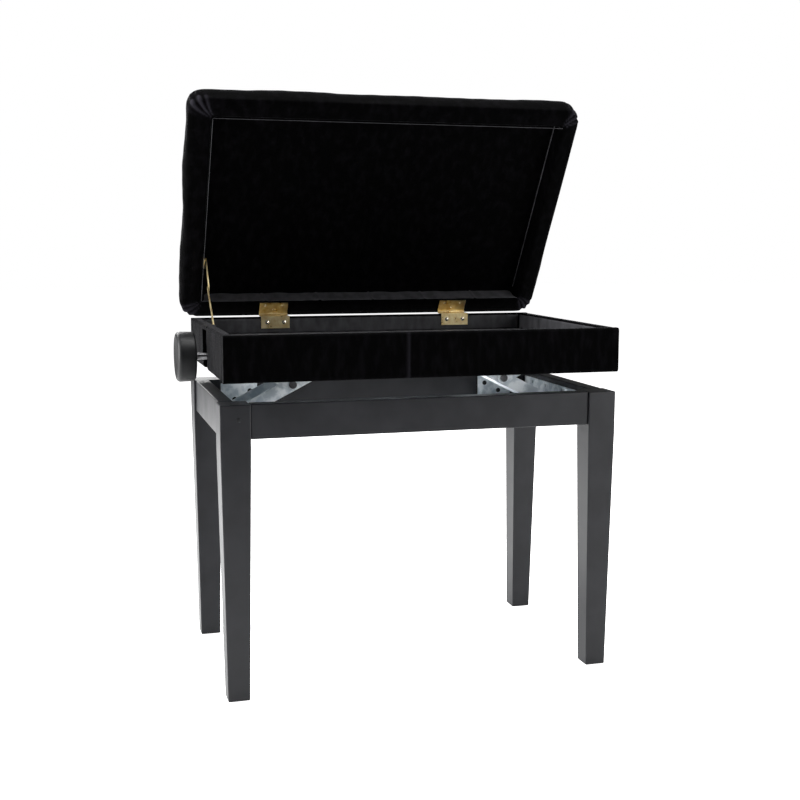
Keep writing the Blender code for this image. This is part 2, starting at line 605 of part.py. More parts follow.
def make_hinge(side, sign, lid_axis):
    """A brass hinge: a cranked leaf over the rear wall, a flat leaf on the lid and a pin."""
    centre = sign * HINGE_PLACE
    third = HINGE_WIDTH / 3
    box_axis = empty(f"hinge_{side}_axis", (centre, HINGE_Y, HINGE_Z))
    name = f"hinge_{side}_box_leaf"
    over = HINGE_Y - BOX_IN_Y + TOUCH + HINGE_SHEET
    top_z = -HINGE_RISE + TOUCH + HINGE_SHEET / 2
    leaf = add(name, box_mesh(name, (HINGE_WIDTH, over, HINGE_SHEET), (0, -over / 2, top_z)), "brass",
               parent=box_axis)
    drop = box_mesh(f"{name}_drop", (HINGE_WIDTH, HINGE_SHEET, HINGE_DROP),
                    (0, -over + HINGE_SHEET / 2, top_z + HINGE_SHEET / 2 - HINGE_DROP / 2))
    combine(leaf, tool(f"{name}_drop", drop, parent=box_axis), 'UNION')
    knuckle = knuckle_mesh(f"{name}_knuckle", -third / 2 + HINGE_GAP, third / 2 - HINGE_GAP)
    combine(leaf, tool(f"{name}_knuckle", knuckle, parent=box_axis), 'UNION')
    clear = HINGE_BARREL + HINGE_GAP
    for end, sign_x in (("outer", -1), ("inner", 1)):
        space = rod_mesh(f"{name}_{end}_space", clear, third + PAST, "X",
                         (sign_x * (third + PAST / 2), 0, 0), 24)
        combine(leaf, tool(f"{name}_{end}_space", space, parent=box_axis), 'DIFFERENCE')
    for i, along in enumerate((-HINGE_HOLE_X, HINGE_HOLE_X)):
        hole = rod_mesh(f"{name}_hole_{i}", HINGE_SCREW_HOLE, PAST, "Y", (along, -over, -HINGE_HOLE_DROP), 16)
        combine(leaf, tool(f"{name}_hole_{i}", hole, parent=box_axis), 'DIFFERENCE')
    bore = rod_mesh(f"{name}_bore", HINGE_PIN + RUN / 2, HINGE_WIDTH + PAST, "X", segments=16)
    combine(leaf, tool(f"{name}_bore", bore, parent=box_axis), 'DIFFERENCE')

    name = f"hinge_{side}_lid_leaf"
    leaf_w = LID_GAP - TOUCH - HINGE_SHEET / 2
    leaf = add(name, box_mesh(name, (HINGE_WIDTH, HINGE_REACH, HINGE_SHEET), (0, -HINGE_REACH / 2, leaf_w)),
               "brass", (centre, 0, 0), parent=lid_axis)
    space = rod_mesh(f"{name}_space", clear, third, "X", segments=24)
    combine(leaf, tool(f"{name}_space", space, (centre, 0, 0), parent=lid_axis), 'DIFFERENCE')
    for end, sign_x in (("outer", -1), ("inner", 1)):
        edges = sorted((sign_x * third / 2, sign_x * HINGE_WIDTH / 2))
        knuckle = knuckle_mesh(f"{name}_{end}_knuckle", *edges)
        combine(leaf, tool(f"{name}_{end}_knuckle", knuckle, (centre, 0, 0), parent=lid_axis), 'UNION')
    bore = rod_mesh(f"{name}_bore", HINGE_PIN + RUN / 2, HINGE_WIDTH + PAST, "X", segments=16)
    combine(leaf, tool(f"{name}_bore", bore, (centre, 0, 0), parent=lid_axis), 'DIFFERENCE')
    holes = ((-HINGE_HOLE_X, -HINGE_HOLE_FAR), (HINGE_HOLE_X, -HINGE_HOLE_FAR), (0, -HINGE_HOLE_NEAR))
    for i, (along, out) in enumerate(holes):
        hole = rod_mesh(f"{name}_hole_{i}", HINGE_SCREW_HOLE, PAST, "Z", (along, out, leaf_w), 16)
        combine(leaf, tool(f"{name}_hole_{i}", hole, (centre, 0, 0), parent=lid_axis), 'DIFFERENCE')

    add(f"hinge_{side}_pin", rod_mesh(f"hinge_{side}_pin", HINGE_PIN, HINGE_WIDTH, "X", segments=16), "brass",
        parent=box_axis)


# ---------------------------------------------------------------- lid
def lid_block(name, x_range, reach_range, rise_range, finish, parent, rounding=0.0):
    """A rectangular piece of the lid, by its reach from the hinge axis and its rise above it."""
    size = [high - low for low, high in (x_range, reach_range, rise_range)]
    centre = (sum(x_range) / 2, -sum(reach_range) / 2, sum(rise_range) / 2)
    return block(name, size, centre, finish, rounding, parent)


def make_lid(axis):
    """Four rails, a board and a pad, with a lined hollow in the underside."""
    wood_x = LID_WIDTH / 2 - LID_CLOTH
    recess_x = LID_WIDTH / 2 - SIDE_RAIL
    rear = LID_CLOTH
    front = LID_DEPTH - LID_CLOTH
    recess = (REAR_RAIL, LID_DEPTH - FRONT_RAIL)
    rise = (LID_WOOD, LID_GAP + RECESS_DEPTH)
    lid_block("lid_rear_rail", (-wood_x, wood_x), (rear, recess[0]), rise, "velvet", axis)
    lid_block("lid_front_rail", (-wood_x, wood_x), (recess[1], front), rise, "velvet", axis)
    side_reach = (recess[0] + TOUCH, recess[1] - TOUCH)
    lid_block("lid_left_rail", (-wood_x, -recess_x), side_reach, rise, "velvet", axis)
    lid_block("lid_right_rail", (recess_x, wood_x), side_reach, rise, "velvet", axis)
    board = (rise[1] + TOUCH, rise[1] + TOUCH + LID_BOARD)
    lid_block("lid_board", (-wood_x, wood_x), (rear, front), board, "plywood", axis)
    pad = (board[1] + TOUCH, board[1] + TOUCH + CUSHION_THICK)
    half_x = LID_WIDTH / 2
    lid_block("seat_cushion", (-half_x, half_x), (0, LID_DEPTH), pad, "velvet", axis, CUSHION_ROUND)
    lining = (rise[1] - LINING_THICK, rise[1])
    lid_block("lid_lining", (-recess_x + TOUCH, recess_x - TOUCH), side_reach, lining, "lining", axis)


# ---------------------------------------------------------------- lid stay
def stay_plate(name, finish_x, place, turn, parent, stud_sign):
    """A small mounting plate with the stay's pivot stud on its inner face."""
    outline = bar_outline(STAY_PLATE - STAY_PLATE_WIDTH, STAY_PLATE_WIDTH)
    plate = add(name, plate_mesh(name, outline, STAY_SHEET, "YZ"), "brass", place, turn, parent)
    stud = rod_mesh(f"{name}_stud", STAY_PIVOT, finish_x, "X", (stud_sign * finish_x / 2, 0, 0), 16)
    combine(plate, tool(f"{name}_stud", stud, place, turn, parent), 'UNION')
    return plate


def stay_link(name, length, place, turn, parent, knuckle_bore):
    """A flat brass link from its pivot to the knuckle."""
    bar = plate_mesh(name, bar_outline(length, STAY_WIDTH), STAY_SHEET, "YZ")
    link = add(name, bar, "brass", place, turn, parent)
    bore = rod_mesh(f"{name}_bore", STAY_PIVOT + RUN, PAST, "X", segments=16)
    combine(link, tool(f"{name}_bore", bore, place, turn, parent), 'DIFFERENCE')
    if knuckle_bore:
        bore = rod_mesh(f"{name}_knuckle_bore", knuckle_bore, PAST, "X", (0, length, 0), 16)
        combine(link, tool(f"{name}_knuckle_bore", bore, place, turn, parent), 'DIFFERENCE')
    return link


def make_stay(lid_axis):
    """A folding stay on the left: a link on the box, a link on the lid and a knuckle between them."""
    box_pivot = Vector((0, HINGE_Y - STAY_BOX_REACH, BOX_TOP - STAY_BOX_DROP))
    lid_turn = Matrix.Rotation(-LID_OPEN, 3, 'X')
    lid_local = Vector((0, -STAY_LID_REACH, STAY_LID_RISE))
    lid_pivot = Vector((0, HINGE_Y, HINGE_Z)) + lid_turn @ lid_local
    span = lid_pivot - box_pivot
    reach = span.length
    line = atan2(span.z, span.y)
    upper = reach + STAY_BEND - STAY_LOWER
    spread = (STAY_LOWER ** 2 + reach ** 2 - upper ** 2) / (2 * STAY_LOWER * reach)
    lower_turn = line - acos(spread)
    knuckle = box_pivot + STAY_LOWER * Vector((0, cos(lower_turn), sin(lower_turn)))
    drop = knuckle - lid_pivot
    upper_turn = atan2(drop.z, drop.y)

    wall_x = -BOX_IN_X
    plate_x = wall_x + TOUCH + STAY_SHEET / 2
    lower_x = plate_x + STAY_SHEET + TOUCH
    upper_x = lower_x + STAY_SHEET + TOUCH
    box_axis = empty("stay_box_axis", (0, box_pivot.y, box_pivot.z))
    stud = lower_x + STAY_SHEET / 2 + TOUCH - plate_x
    stay_plate("stay_box_plate", stud, (plate_x, 0, 0), (0, 0, 0), box_axis, 1)
    stay_link("stay_lower_link", STAY_LOWER, (lower_x, 0, 0), (lower_turn, 0, 0), box_axis, 0)
    lid_pivot_axis = empty("stay_lid_axis", lid_local, parent=lid_axis)
    recess_x = -(LID_WIDTH / 2 - SIDE_RAIL)
    lid_plate_x = recess_x + TOUCH + STAY_SHEET / 2
    stud = upper_x + STAY_SHEET / 2 + TOUCH - lid_plate_x
    stay_plate("stay_lid_plate", stud, (lid_plate_x, 0, 0), (0, 0, 0), lid_pivot_axis, 1)
    stay_link("stay_upper_link", upper, (upper_x, 0, 0), (upper_turn + LID_OPEN, 0, 0), lid_pivot_axis,
              STAY_PIVOT + RUN)


# ---------------------------------------------------------------- whole bench
def centre_on_floor():
    """Moves the bench so that the origin is under the middle of its outline."""
    depsgraph = bpy.context.evaluated_depsgraph_get()
    depsgraph.update()
    low = Vector((1e9, 1e9, 1e9))
    high = -low
    for obj in PARTS.objects:
        if obj.type != 'MESH':
            continue
        evaluated = obj.evaluated_get(depsgraph)
        for vert in evaluated.data.vertices:
            point = evaluated.matrix_world @ vert.co
            low = Vector(map(min, low, point))
            high = Vector(map(max, high, point))
    BENCH.location = (-(low.x + high.x) / 2, -(low.y + high.y) / 2, -low.z)
    bpy.context.view_layer.update()


def main():
    make_legs()
    make_aprons()
    for side, sign in SIDES.items():
        make_base_rail(side, sign)
        make_arm(side, sign)
        make_link(side, sign)
        make_nut(side, sign)
    make_lift_frame()
    make_spindle()
    make_music_box()
    lid_axis = empty("lid_axis", (0, HINGE_Y, HINGE_Z), (-LID_OPEN, 0, 0))
    for side, sign in SIDES.items():
        make_hinge(side, sign, lid_axis)
    make_lid(lid_axis)
    make_stay(lid_axis)
    centre_on_floor()


main()
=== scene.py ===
import json
from math import cos, pi, radians, sin

import bmesh
import bpy
import numpy as np
from mathutils import Matrix, Vector


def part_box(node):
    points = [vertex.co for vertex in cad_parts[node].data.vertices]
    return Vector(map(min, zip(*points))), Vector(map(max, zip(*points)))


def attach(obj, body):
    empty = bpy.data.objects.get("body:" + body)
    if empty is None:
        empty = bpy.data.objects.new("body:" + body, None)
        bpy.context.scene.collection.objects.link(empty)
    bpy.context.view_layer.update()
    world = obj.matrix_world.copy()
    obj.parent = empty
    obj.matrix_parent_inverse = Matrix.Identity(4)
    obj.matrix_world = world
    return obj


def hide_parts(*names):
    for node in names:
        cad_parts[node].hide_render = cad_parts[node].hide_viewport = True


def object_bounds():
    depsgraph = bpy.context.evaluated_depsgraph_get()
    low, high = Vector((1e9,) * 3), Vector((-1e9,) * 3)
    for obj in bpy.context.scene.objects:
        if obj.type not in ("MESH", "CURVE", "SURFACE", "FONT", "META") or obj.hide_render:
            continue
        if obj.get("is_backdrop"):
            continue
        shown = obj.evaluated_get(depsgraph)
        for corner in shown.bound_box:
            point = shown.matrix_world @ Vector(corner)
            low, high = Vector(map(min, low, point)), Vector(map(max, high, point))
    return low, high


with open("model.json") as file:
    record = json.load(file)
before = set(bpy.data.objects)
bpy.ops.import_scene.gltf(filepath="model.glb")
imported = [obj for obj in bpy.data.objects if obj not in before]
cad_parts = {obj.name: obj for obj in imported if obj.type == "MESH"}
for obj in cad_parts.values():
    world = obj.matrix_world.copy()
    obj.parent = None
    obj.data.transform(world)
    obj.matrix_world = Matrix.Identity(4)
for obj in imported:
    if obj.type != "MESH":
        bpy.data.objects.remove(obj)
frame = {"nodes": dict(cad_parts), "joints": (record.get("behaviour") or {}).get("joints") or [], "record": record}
cadLow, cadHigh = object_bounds()
joints = {joint["name"]: joint for joint in frame["joints"]}
print("frame loaded:", len(frame["nodes"]), "CAD nodes")


# places that everything else is worked out from
lidHinge = joints["lid_hinge"]
lidAxis = np.array(lidHinge["pos_m"])
lidTilt = radians(lidHinge["range_deg"][1])       # the lid is drawn open by this much


def cornersOf(name):
    # lowest and highest corner of a CAD node
    low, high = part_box(name)
    return np.array(low), np.array(high)


def vertexRows(mesh, kind):
    # every vertex's "co" or "normal", one row each
    values = np.zeros(len(mesh.vertices) * 3)
    mesh.vertices.foreach_get(kind, values)
    return values.reshape(-1, 3)


def lidCoords(name):
    # a lid node's corners as x, reach forward of the hinge, rise above it:
    # reach and rise are y and z turned back by the lid's tilt
    co = vertexRows(frame["nodes"][name].data, "co") - np.array([0, lidAxis[1], lidAxis[2]])
    reach = -co[:, 1] * cos(lidTilt) + co[:, 2] * sin(lidTilt)
    rise = co[:, 1] * sin(lidTilt) + co[:, 2] * cos(lidTilt)
    flat = np.stack([co[:, 0], reach, rise], axis=1)
    return flat.min(axis=0), flat.max(axis=0)


def lidPlace(points):
    # x, reach, rise into the frame: the opposite turn of lidCoords
    x, reach, rise = points[..., 0], points[..., 1], points[..., 2]
    y = lidAxis[1] - reach * cos(lidTilt) + rise * sin(lidTilt)
    z = lidAxis[2] + reach * sin(lidTilt) + rise * cos(lidTilt)
    return np.stack([x, y, z], axis=-1)


padLow, padHigh = lidCoords("seat_cushion")
railLow = lidCoords("lid_front_rail")[0]
rearHigh = lidCoords("lid_rear_rail")[1]
sideHigh = lidCoords("lid_left_rail")[1]
liningLow, liningHigh = lidCoords("lid_lining")
boardLow, boardHigh = lidCoords("lid_board")
middleX = (padLow[0] + padHigh[0]) / 2


# mesh making
def smoothNoise(points, size, seed):
    # sum of five sine waves in seeded directions, each about one wave per size, scaled to about -1..1
    rng = np.random.default_rng(seed)
    total = np.zeros(points.shape[:-1])
    for wave in range(5):
        direction = rng.normal(size=3)
        direction *= 2 * pi * rng.uniform(0.6, 1.6) / (size * np.linalg.norm(direction))
        total += np.sin(points @ direction + rng.uniform(0, 2 * pi))
    return total / 3.2


def newPiece(name, verts, faces, smooth=True, recalc=True):
    mesh = bpy.data.meshes.new(name)
    mesh.from_pydata(np.asarray(verts, float).reshape(-1, 3).tolist(), [], faces)
    bm = bmesh.new()
    bm.from_mesh(mesh)
    bmesh.ops.remove_doubles(bm, verts=bm.verts, dist=0.000002)
    if recalc:
        bmesh.ops.recalc_face_normals(bm, faces=bm.faces)
    bm.to_mesh(mesh)
    bm.free()
    if smooth:
        mesh.shade_smooth()
    obj = bpy.data.objects.new(name, mesh)
    bpy.context.scene.collection.objects.link(obj)
    return obj


def gridFaces(rows, cols, ring):
    # quads between neighbouring grid points, with the last column joined to the first on a ring
    index = np.arange(rows * cols).reshape(rows, cols)
    right = np.roll(index, -1, axis=1)
    if not ring:
        index, right = index[:, :-1], right[:, :-1]
    return np.stack([index[:-1], right[:-1], right[1:], index[1:]], axis=-1).reshape(-1, 4).tolist()


def closedTube(name, grid, smooth=True):
    # a ring of points carried along a path, with a flat cap at each end
    rows, cols = grid.shape[:2]
    faces = gridFaces(rows, cols, True)
    faces.append(list(range(cols))[::-1])
    faces.append(list(range((rows - 1) * cols, rows * cols)))
    return newPiece(name, grid, faces, smooth)


def openSheet(name, grid, thick):
    # a grid of points as a sheet, thickened evenly to both sides
    obj = newPiece(name, grid, gridFaces(*grid.shape[:2], False), recalc=False)
    wall = obj.modifiers.new("thickness", "SOLIDIFY")
    wall.thickness = thick
    wall.offset = 0
    return obj


def evaluatedMesh(obj):
    # the mesh as its modifiers leave it takes the old one's place
    depsgraph = bpy.context.evaluated_depsgraph_get()
    mesh = bpy.data.meshes.new_from_object(obj.evaluated_get(depsgraph))
    obj.modifiers.clear()
    obj.data = mesh
    return mesh


def roundedRect(halfX, halfY, radius, cornerSteps, sideSteps):
    # quarter circles round four inset centres, joined by straight runs of even steps
    cornerTurns = []
    for corner, (sx, sy) in enumerate(((1, 1), (-1, 1), (-1, -1), (1, -1))):
        turn = corner * pi / 2 + np.linspace(0, pi / 2, cornerSteps)
        cornerTurns.append(np.stack([sx * (halfX - radius) + radius * np.cos(turn),
                                     sy * (halfY - radius) + radius * np.sin(turn)], axis=1))
    pieces = []
    for corner in range(4):
        start, end = cornerTurns[corner][-1], cornerTurns[(corner + 1) % 4][0]
        share = np.linspace(0, 1, sideSteps + 1)[1:-1, None]
        pieces += [cornerTurns[corner], start + (end - start) * share]
    return np.concatenate(pieces)


def turned(name, profile, axisPoint, segments):
    # a profile of (along, radius) turned about X through a point: y, z = radius times cos, sin of the turn
    along, radius = np.array(profile).T
    turn = np.linspace(0, 2 * pi, segments, endpoint=False)
    grid = np.stack([np.repeat(along[:, None], segments, axis=1),
                     radius[:, None] * np.cos(turn), radius[:, None] * np.sin(turn)], axis=-1)
    return closedTube(name, grid + np.array(axisPoint))


def cornerRound(radius, start, end, steps):
    # points on an arc about zero from start to end, in degrees
    turn = np.radians(np.linspace(start, end, steps))
    return list(zip(radius * np.cos(turn), radius * np.sin(turn)))


# materials
def link(tree, source, target):
    tree.links.new(source, target)


def effectGroup(name, inputs, output):
    group = bpy.data.node_groups.new(name, "ShaderNodeTree")
    for socket, value in inputs.items():
        made = group.interface.new_socket(socket, in_out="INPUT", socket_type="NodeSocketFloat")
        made.default_value = value
    group.interface.new_socket(output, in_out="OUTPUT", socket_type="NodeSocketFloat")
    start = group.nodes.new("NodeGroupInput")
    end = group.nodes.new("NodeGroupOutput")
    place = group.nodes.new("ShaderNodeTexCoord")
    return group, start, end, place


def makeNoiseGroup():
    # cloudy noise on the object's own coordinates, pushed apart by Contrast round its middle value
    inputs = {"Scale": 40.0, "Detail": 4.0, "Contrast": 1.0}
    group, start, end, place = effectGroup("patchNoise", inputs, "Fac")
    noise = group.nodes.new("ShaderNodeTexNoise")
    link(group, place.outputs["Object"], noise.inputs["Vector"])
    link(group, start.outputs["Scale"], noise.inputs["Scale"])
    link(group, start.outputs["Detail"], noise.inputs["Detail"])
    centre = group.nodes.new("ShaderNodeMath")
    centre.operation = "SUBTRACT"
    centre.inputs[1].default_value = 0.5
    link(group, noise.outputs["Fac"], centre.inputs[0])
    spread = group.nodes.new("ShaderNodeMath")
    spread.operation = "MULTIPLY_ADD"
    spread.inputs[2].default_value = 0.5
    spread.use_clamp = True
    link(group, centre.outputs[0], spread.inputs[0])
    link(group, start.outputs["Contrast"], spread.inputs[1])
    link(group, spread.outputs[0], end.inputs["Fac"])
    return group


def makeNapGroup():
    # long soft streaks: the same noise on coordinates squeezed by Stretch across the pile's lie
    group, start, end, place = effectGroup("napStreaks", {"Scale": 60.0, "Stretch": 5.0}, "Fac")
    squeeze = group.nodes.new("ShaderNodeCombineXYZ")
    link(group, start.outputs["Stretch"], squeeze.inputs["X"])
    link(group, start.outputs["Stretch"], squeeze.inputs["Y"])
    squeeze.inputs["Z"].default_value = 1.0
    scaled = group.nodes.new("ShaderNodeVectorMath")
    scaled.operation = "MULTIPLY"
    link(group, place.outputs["Object"], scaled.inputs[0])
    link(group, squeeze.outputs[0], scaled.inputs[1])
    noise = group.nodes.new("ShaderNodeTexNoise")
    noise.inputs["Detail"].default_value = 5.0
    link(group, scaled.outputs[0], noise.inputs["Vector"])
    link(group, start.outputs["Scale"], noise.inputs["Scale"])
    link(group, noise.outputs["Fac"], end.inputs["Fac"])
    return group


patchNoise = makeNoiseGroup()
napStreaks = makeNapGroup()


def placeGroup(tree, group, values):
    node = tree.nodes.new("ShaderNodeGroup")
    node.node_tree = group
    for socket, value in values.items():
        node.inputs[socket].default_value = value
    return node.outputs["Fac"]


def makeFinish(name, spec):
    # two colours and two roughnesses mixed by one pattern, with a fine bump from another
    material = bpy.data.materials.new(name)
    material.use_nodes = True
    tree = material.node_tree
    shader = tree.nodes["Principled BSDF"]
    for socket, value in spec.get("fixed", {}).items():
        shader.inputs[socket].default_value = value
    pattern = placeGroup(tree, spec.get("group", patchNoise), spec["pattern"])
    colours = tree.nodes.new("ShaderNodeValToRGB")
    dark, light = spec["colours"]
    colours.color_ramp.elements[0].position = spec.get("from", 0.3)
    colours.color_ramp.elements[0].color = (*dark, 1)
    colours.color_ramp.elements[1].position = spec.get("to", 0.7)
    colours.color_ramp.elements[1].color = (*light, 1)
    link(tree, pattern, colours.inputs["Fac"])
    colour = colours.outputs["Color"]
    if "crushedSheen" in spec:
        # painted sheen: where the pile is pressed flat a lighter colour is mixed in, by the piece's own attribute
        crushSheen = tree.nodes.new("ShaderNodeAttribute")
        crushSheen.attribute_name = "crushSheen"
        blend = tree.nodes.new("ShaderNodeMix")
        blend.data_type = "RGBA"
        link(tree, crushSheen.outputs["Fac"], blend.inputs["Factor"])
        link(tree, colour, blend.inputs["A"])
        blend.inputs["B"].default_value = (*spec["crushedSheen"], 1)
        colour = blend.outputs["Result"]
    link(tree, colour, shader.inputs["Base Color"])
    rough = tree.nodes.new("ShaderNodeMapRange")
    rough.inputs["To Min"].default_value, rough.inputs["To Max"].default_value = spec["rough"]
    link(tree, pattern, rough.inputs["Value"])
    link(tree, rough.outputs["Result"], shader.inputs["Roughness"])
    fine = placeGroup(tree, patchNoise, {"Scale": spec["bumpScale"], "Detail": 3.0, "Contrast": 1.0})
    bump = tree.nodes.new("ShaderNodeBump")
    bump.inputs["Strength"].default_value = spec["bump"]
    bump.inputs["Distance"].default_value = spec["bumpDepth"]
    height = tree.nodes.new("ShaderNodeMath")
    height.operation = "MULTIPLY_ADD"
    height.inputs[1].default_value = spec.get("lean", 0.0)      # how much the coarse pattern lifts it
    link(tree, pattern, height.inputs[0])
    link(tree, fine, height.inputs[2])
    link(tree, height.outputs[0], bump.inputs["Height"])
    link(tree, bump.outputs["Normal"], shader.inputs["Normal"])
    return material


finishes = {
    "lacquer": {"colours": ((0.0078, 0.0082, 0.0104), (0.0122, 0.0128, 0.0158)), "rough": (0.30, 0.42),
                "pattern": {"Scale": 26.0, "Detail": 5.0, "Contrast": 1.6},
                "bumpScale": 900.0, "bump": 0.12, "bumpDepth": 0.0004,
                "fixed": {"Coat Weight": 0.05, "Coat Roughness": 0.25, "Specular IOR Level": 0.30}},
    "velvet": {"colours": ((0.0002, 0.0002, 0.0003), (0.0026, 0.0024, 0.0031)), "from": 0.46, "to": 0.80,
               # the crushed colour is a painted sheen, lighter where the pile lies pressed flat
               "group": napStreaks, "crushedSheen": (0.020, 0.019, 0.024), "lean": 6.0,
               "rough": (0.85, 1.0), "pattern": {"Scale": 30.0, "Stretch": 3.2},
               "bumpScale": 1500.0, "bump": 0.35, "bumpDepth": 0.0006,
               "fixed": {"Specular IOR Level": 0.03, "Sheen Weight": 0.065, "Sheen Roughness": 0.20,
                         "Sheen Tint": (0.92, 0.92, 1.0, 1.0)}},
    "satin": {"colours": ((0.024, 0.024, 0.027), (0.056, 0.056, 0.062)), "rough": (0.50, 0.68),
              "group": napStreaks, "pattern": {"Scale": 40.0, "Stretch": 2.0},
              "bumpScale": 2200.0, "bump": 0.15, "bumpDepth": 0.0003,
              "fixed": {"Sheen Weight": 0.06, "Specular IOR Level": 0.26}},
    "zinc": {"colours": ((0.62, 0.69, 0.74), (0.90, 0.95, 0.98)), "rough": (0.30, 0.52),
             "pattern": {"Scale": 70.0, "Detail": 6.0, "Contrast": 3.0},
             "bumpScale": 600.0, "bump": 0.10, "bumpDepth": 0.0003, "fixed": {"Metallic": 0.8}},
    "steel": {"colours": ((0.12, 0.12, 0.125), (0.22, 0.22, 0.23)), "rough": (0.26, 0.42),
              "pattern": {"Scale": 110.0, "Detail": 4.0, "Contrast": 1.5},
              "bumpScale": 1400.0, "bump": 0.08, "bumpDepth": 0.0002, "fixed": {"Metallic": 1.0}},
    "brass": {"colours": ((0.84, 0.64, 0.31), (0.99, 0.84, 0.50)), "rough": (0.24, 0.40),
              "pattern": {"Scale": 120.0, "Detail": 5.0, "Contrast": 1.8},
              "bumpScale": 1200.0, "bump": 0.06, "bumpDepth": 0.0002, "fixed": {"Metallic": 1.0}},
    "plastic": {"colours": ((0.006, 0.0063, 0.0070), (0.010, 0.0105, 0.0115)), "rough": (0.40, 0.52),
                "pattern": {"Scale": 60.0, "Detail": 3.0, "Contrast": 1.2},
                "bumpScale": 2600.0, "bump": 0.22, "bumpDepth": 0.0003,
                "fixed": {"Specular IOR Level": 0.24}},
    "screwBrass": {"colours": ((0.86, 0.80, 0.66), (1.0, 0.95, 0.82)), "rough": (0.14, 0.26),
                   "pattern": {"Scale": 300.0, "Detail": 3.0, "Contrast": 1.5},
                   "bumpScale": 1200.0, "bump": 0.05, "bumpDepth": 0.0001, "fixed": {"Metallic": 1.0}},
    "screwBlack": {"colours": ((0.010, 0.010, 0.011), (0.030, 0.030, 0.032)), "rough": (0.3, 0.5),
                   "pattern": {"Scale": 300.0, "Detail": 3.0, "Contrast": 1.5},
                   "bumpScale": 1200.0, "bump": 0.05, "bumpDepth": 0.0001, "fixed": {"Metallic": 0.5}},
    "plywood": {"group": napStreaks, "colours": ((0.34, 0.22, 0.12), (0.52, 0.37, 0.22)), "rough": (0.6, 0.8),
                "pattern": {"Scale": 30.0, "Stretch": 0.3}, "bumpScale": 500.0, "bump": 0.2,
                "bumpDepth": 0.0004},
}
materials = {name: makeFinish(name, spec) for name, spec in finishes.items()}
slotFinish = {"black_lacquer": "lacquer", "zinc_steel": "zinc", "bright_steel": "steel", "brass": "brass",
              "black_plastic": "plastic", "black_velvet": "velvet", "satin_lining": "satin",
              "plywood": "plywood"}
for part in frame["record"]["subparts"]:
    node = frame["nodes"][part["node"]]
    node.data.materials.clear()
    node.data.materials.append(materials[slotFinish[part["material_slot"]]])
print("materials made:", len(materials))


def finishPiece(obj, finish, body):
    obj.data.materials.clear()
    obj.data.materials.append(materials[finish])
    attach(obj, body)


# velvet lid
lidCover = {
    "cornerRadius": 0.020,
    "startInset": -0.0042,       # the stuffed side's belly stands this far proud of the frame
    "shift": -0.0015,            # the whole cover sits a little to the left
    "skew": -0.0040,             # and its front edge a little more
    "rearOut": 0.0030,           # the rear edge hangs this much further over the hinges
    "rearFade": 0.030,           # over this reach
    "underOut": 0.0012,          # velvet under the frame
    "bellyRise": 0.019,          # height of the belly above the underside
    "underIn": 0.0042,           # how far the underside's edge lies inside the belly
    "underPower": 0.7,           # squareness of the lower quarter oval
    "topIn": 0.0200,             # how far the top's edge lies inside the belly
    "topPower": 0.8,             # squareness of the upper one
    "topRadius": 0.006,          # corner radius of the top's edge
    "topDrop": 0.0020,           # the top's edge below the crown's foot
    "crown": 0.0035,             # rise of the seat's middle
    "hollowIn": 0.0009,          # velvet on the hollow's sides
    "hollowRadius": 0.004,
    "lipIn": 0.0025,             # where the rim rolls over into the hollow
    "lipRadius": 0.005,
    "lipRise": 0.0020,
    "floorGap": 0.0003,          # between the hollow's floor and the board
    "cornerSteps": 10,           # points round each corner of an outline
    "sideSteps": 26,             # and along each side
    "cell": 0.0050,              # voxel of the remesh
    "pinned": 0.009,             # cloth this near the underside is held still
    "quality": 5,
    "mass": 0.3,
    "stretch": 12,
    "bend": 0.6,
    "pressure": 4.0,
    "frames": 20,
    "cap": 0.0030,               # the farthest that a point may be blown out
    "gathers": 5,                # folds that fan out over each corner
    "gatherDepth": 0.0012,
    "gatherLevel": 0.6,          # share of the depth by which the folds sit lower
    "gatherSkew": 0.35,          # the folds turn by this in every skewReach from the corner
    "skewReach": 0.05,
    "fanBack": 0.004,            # the fan's centre lies this far inside the hollow's corner
    "fanWidth": 0.42,            # half its spread, in radians
    "fanStart": 0.005,
    "fanFade": 0.006,
    "fanHeight": 0.030,          # folds reach this high above the underside
    "crushSheenHeight": 0.010,        # and the painted sheen of pressed pile reaches up to here
    "wave": 0.0011,              # slow unevenness of the stuffed faces
    "waveSize": 0.15,
    "fineShare": 0.35,           # and a finer one, as a share of it
    "fineSize": 0.035,
    "waveStart": 0.002,          # unevenness sets in this far above the underside
    "waveFade": 0.008,
}


def lidOutline(inset, radius):
    # the lid's outline pulled in by inset, as x and reach
    halfX = (padHigh[0] - padLow[0]) / 2 - inset
    halfY = (padHigh[1] - padLow[1]) / 2 - inset
    flat = roundedRect(halfX, halfY, radius, lidCover["cornerSteps"], lidCover["sideSteps"])
    flat = flat + np.array([middleX + lidCover["shift"], (padLow[1] + padHigh[1]) / 2])
    flat[:, 0] += lidCover["skew"] * flat[:, 1] / padHigh[1]
    flat[:, 1] -= lidCover["rearOut"] * np.clip(1 - (flat[:, 1] - padLow[1]) / lidCover["rearFade"], 0, 1)
    return flat


def recessOutline(inset, radius):
    # the hollow's outline, grown by a negative inset
    low = np.array([sideHigh[0] + inset, rearHigh[1] + inset])
    high = np.array([2 * middleX - sideHigh[0] - inset, railLow[1] - inset])
    half = (high - low) / 2
    flat = roundedRect(half[0], half[1], radius, lidCover["cornerSteps"], lidCover["sideSteps"])
    return flat + (low + high) / 2


def ringRow(flat, rise):
    # an outline at one height
    return np.concatenate([flat, np.full((len(flat), 1), rise)], axis=1)


def shrunk(flat, share):
    # an outline drawn in towards its middle
    centre = flat.mean(axis=0)
    return centre + (flat - centre) * share


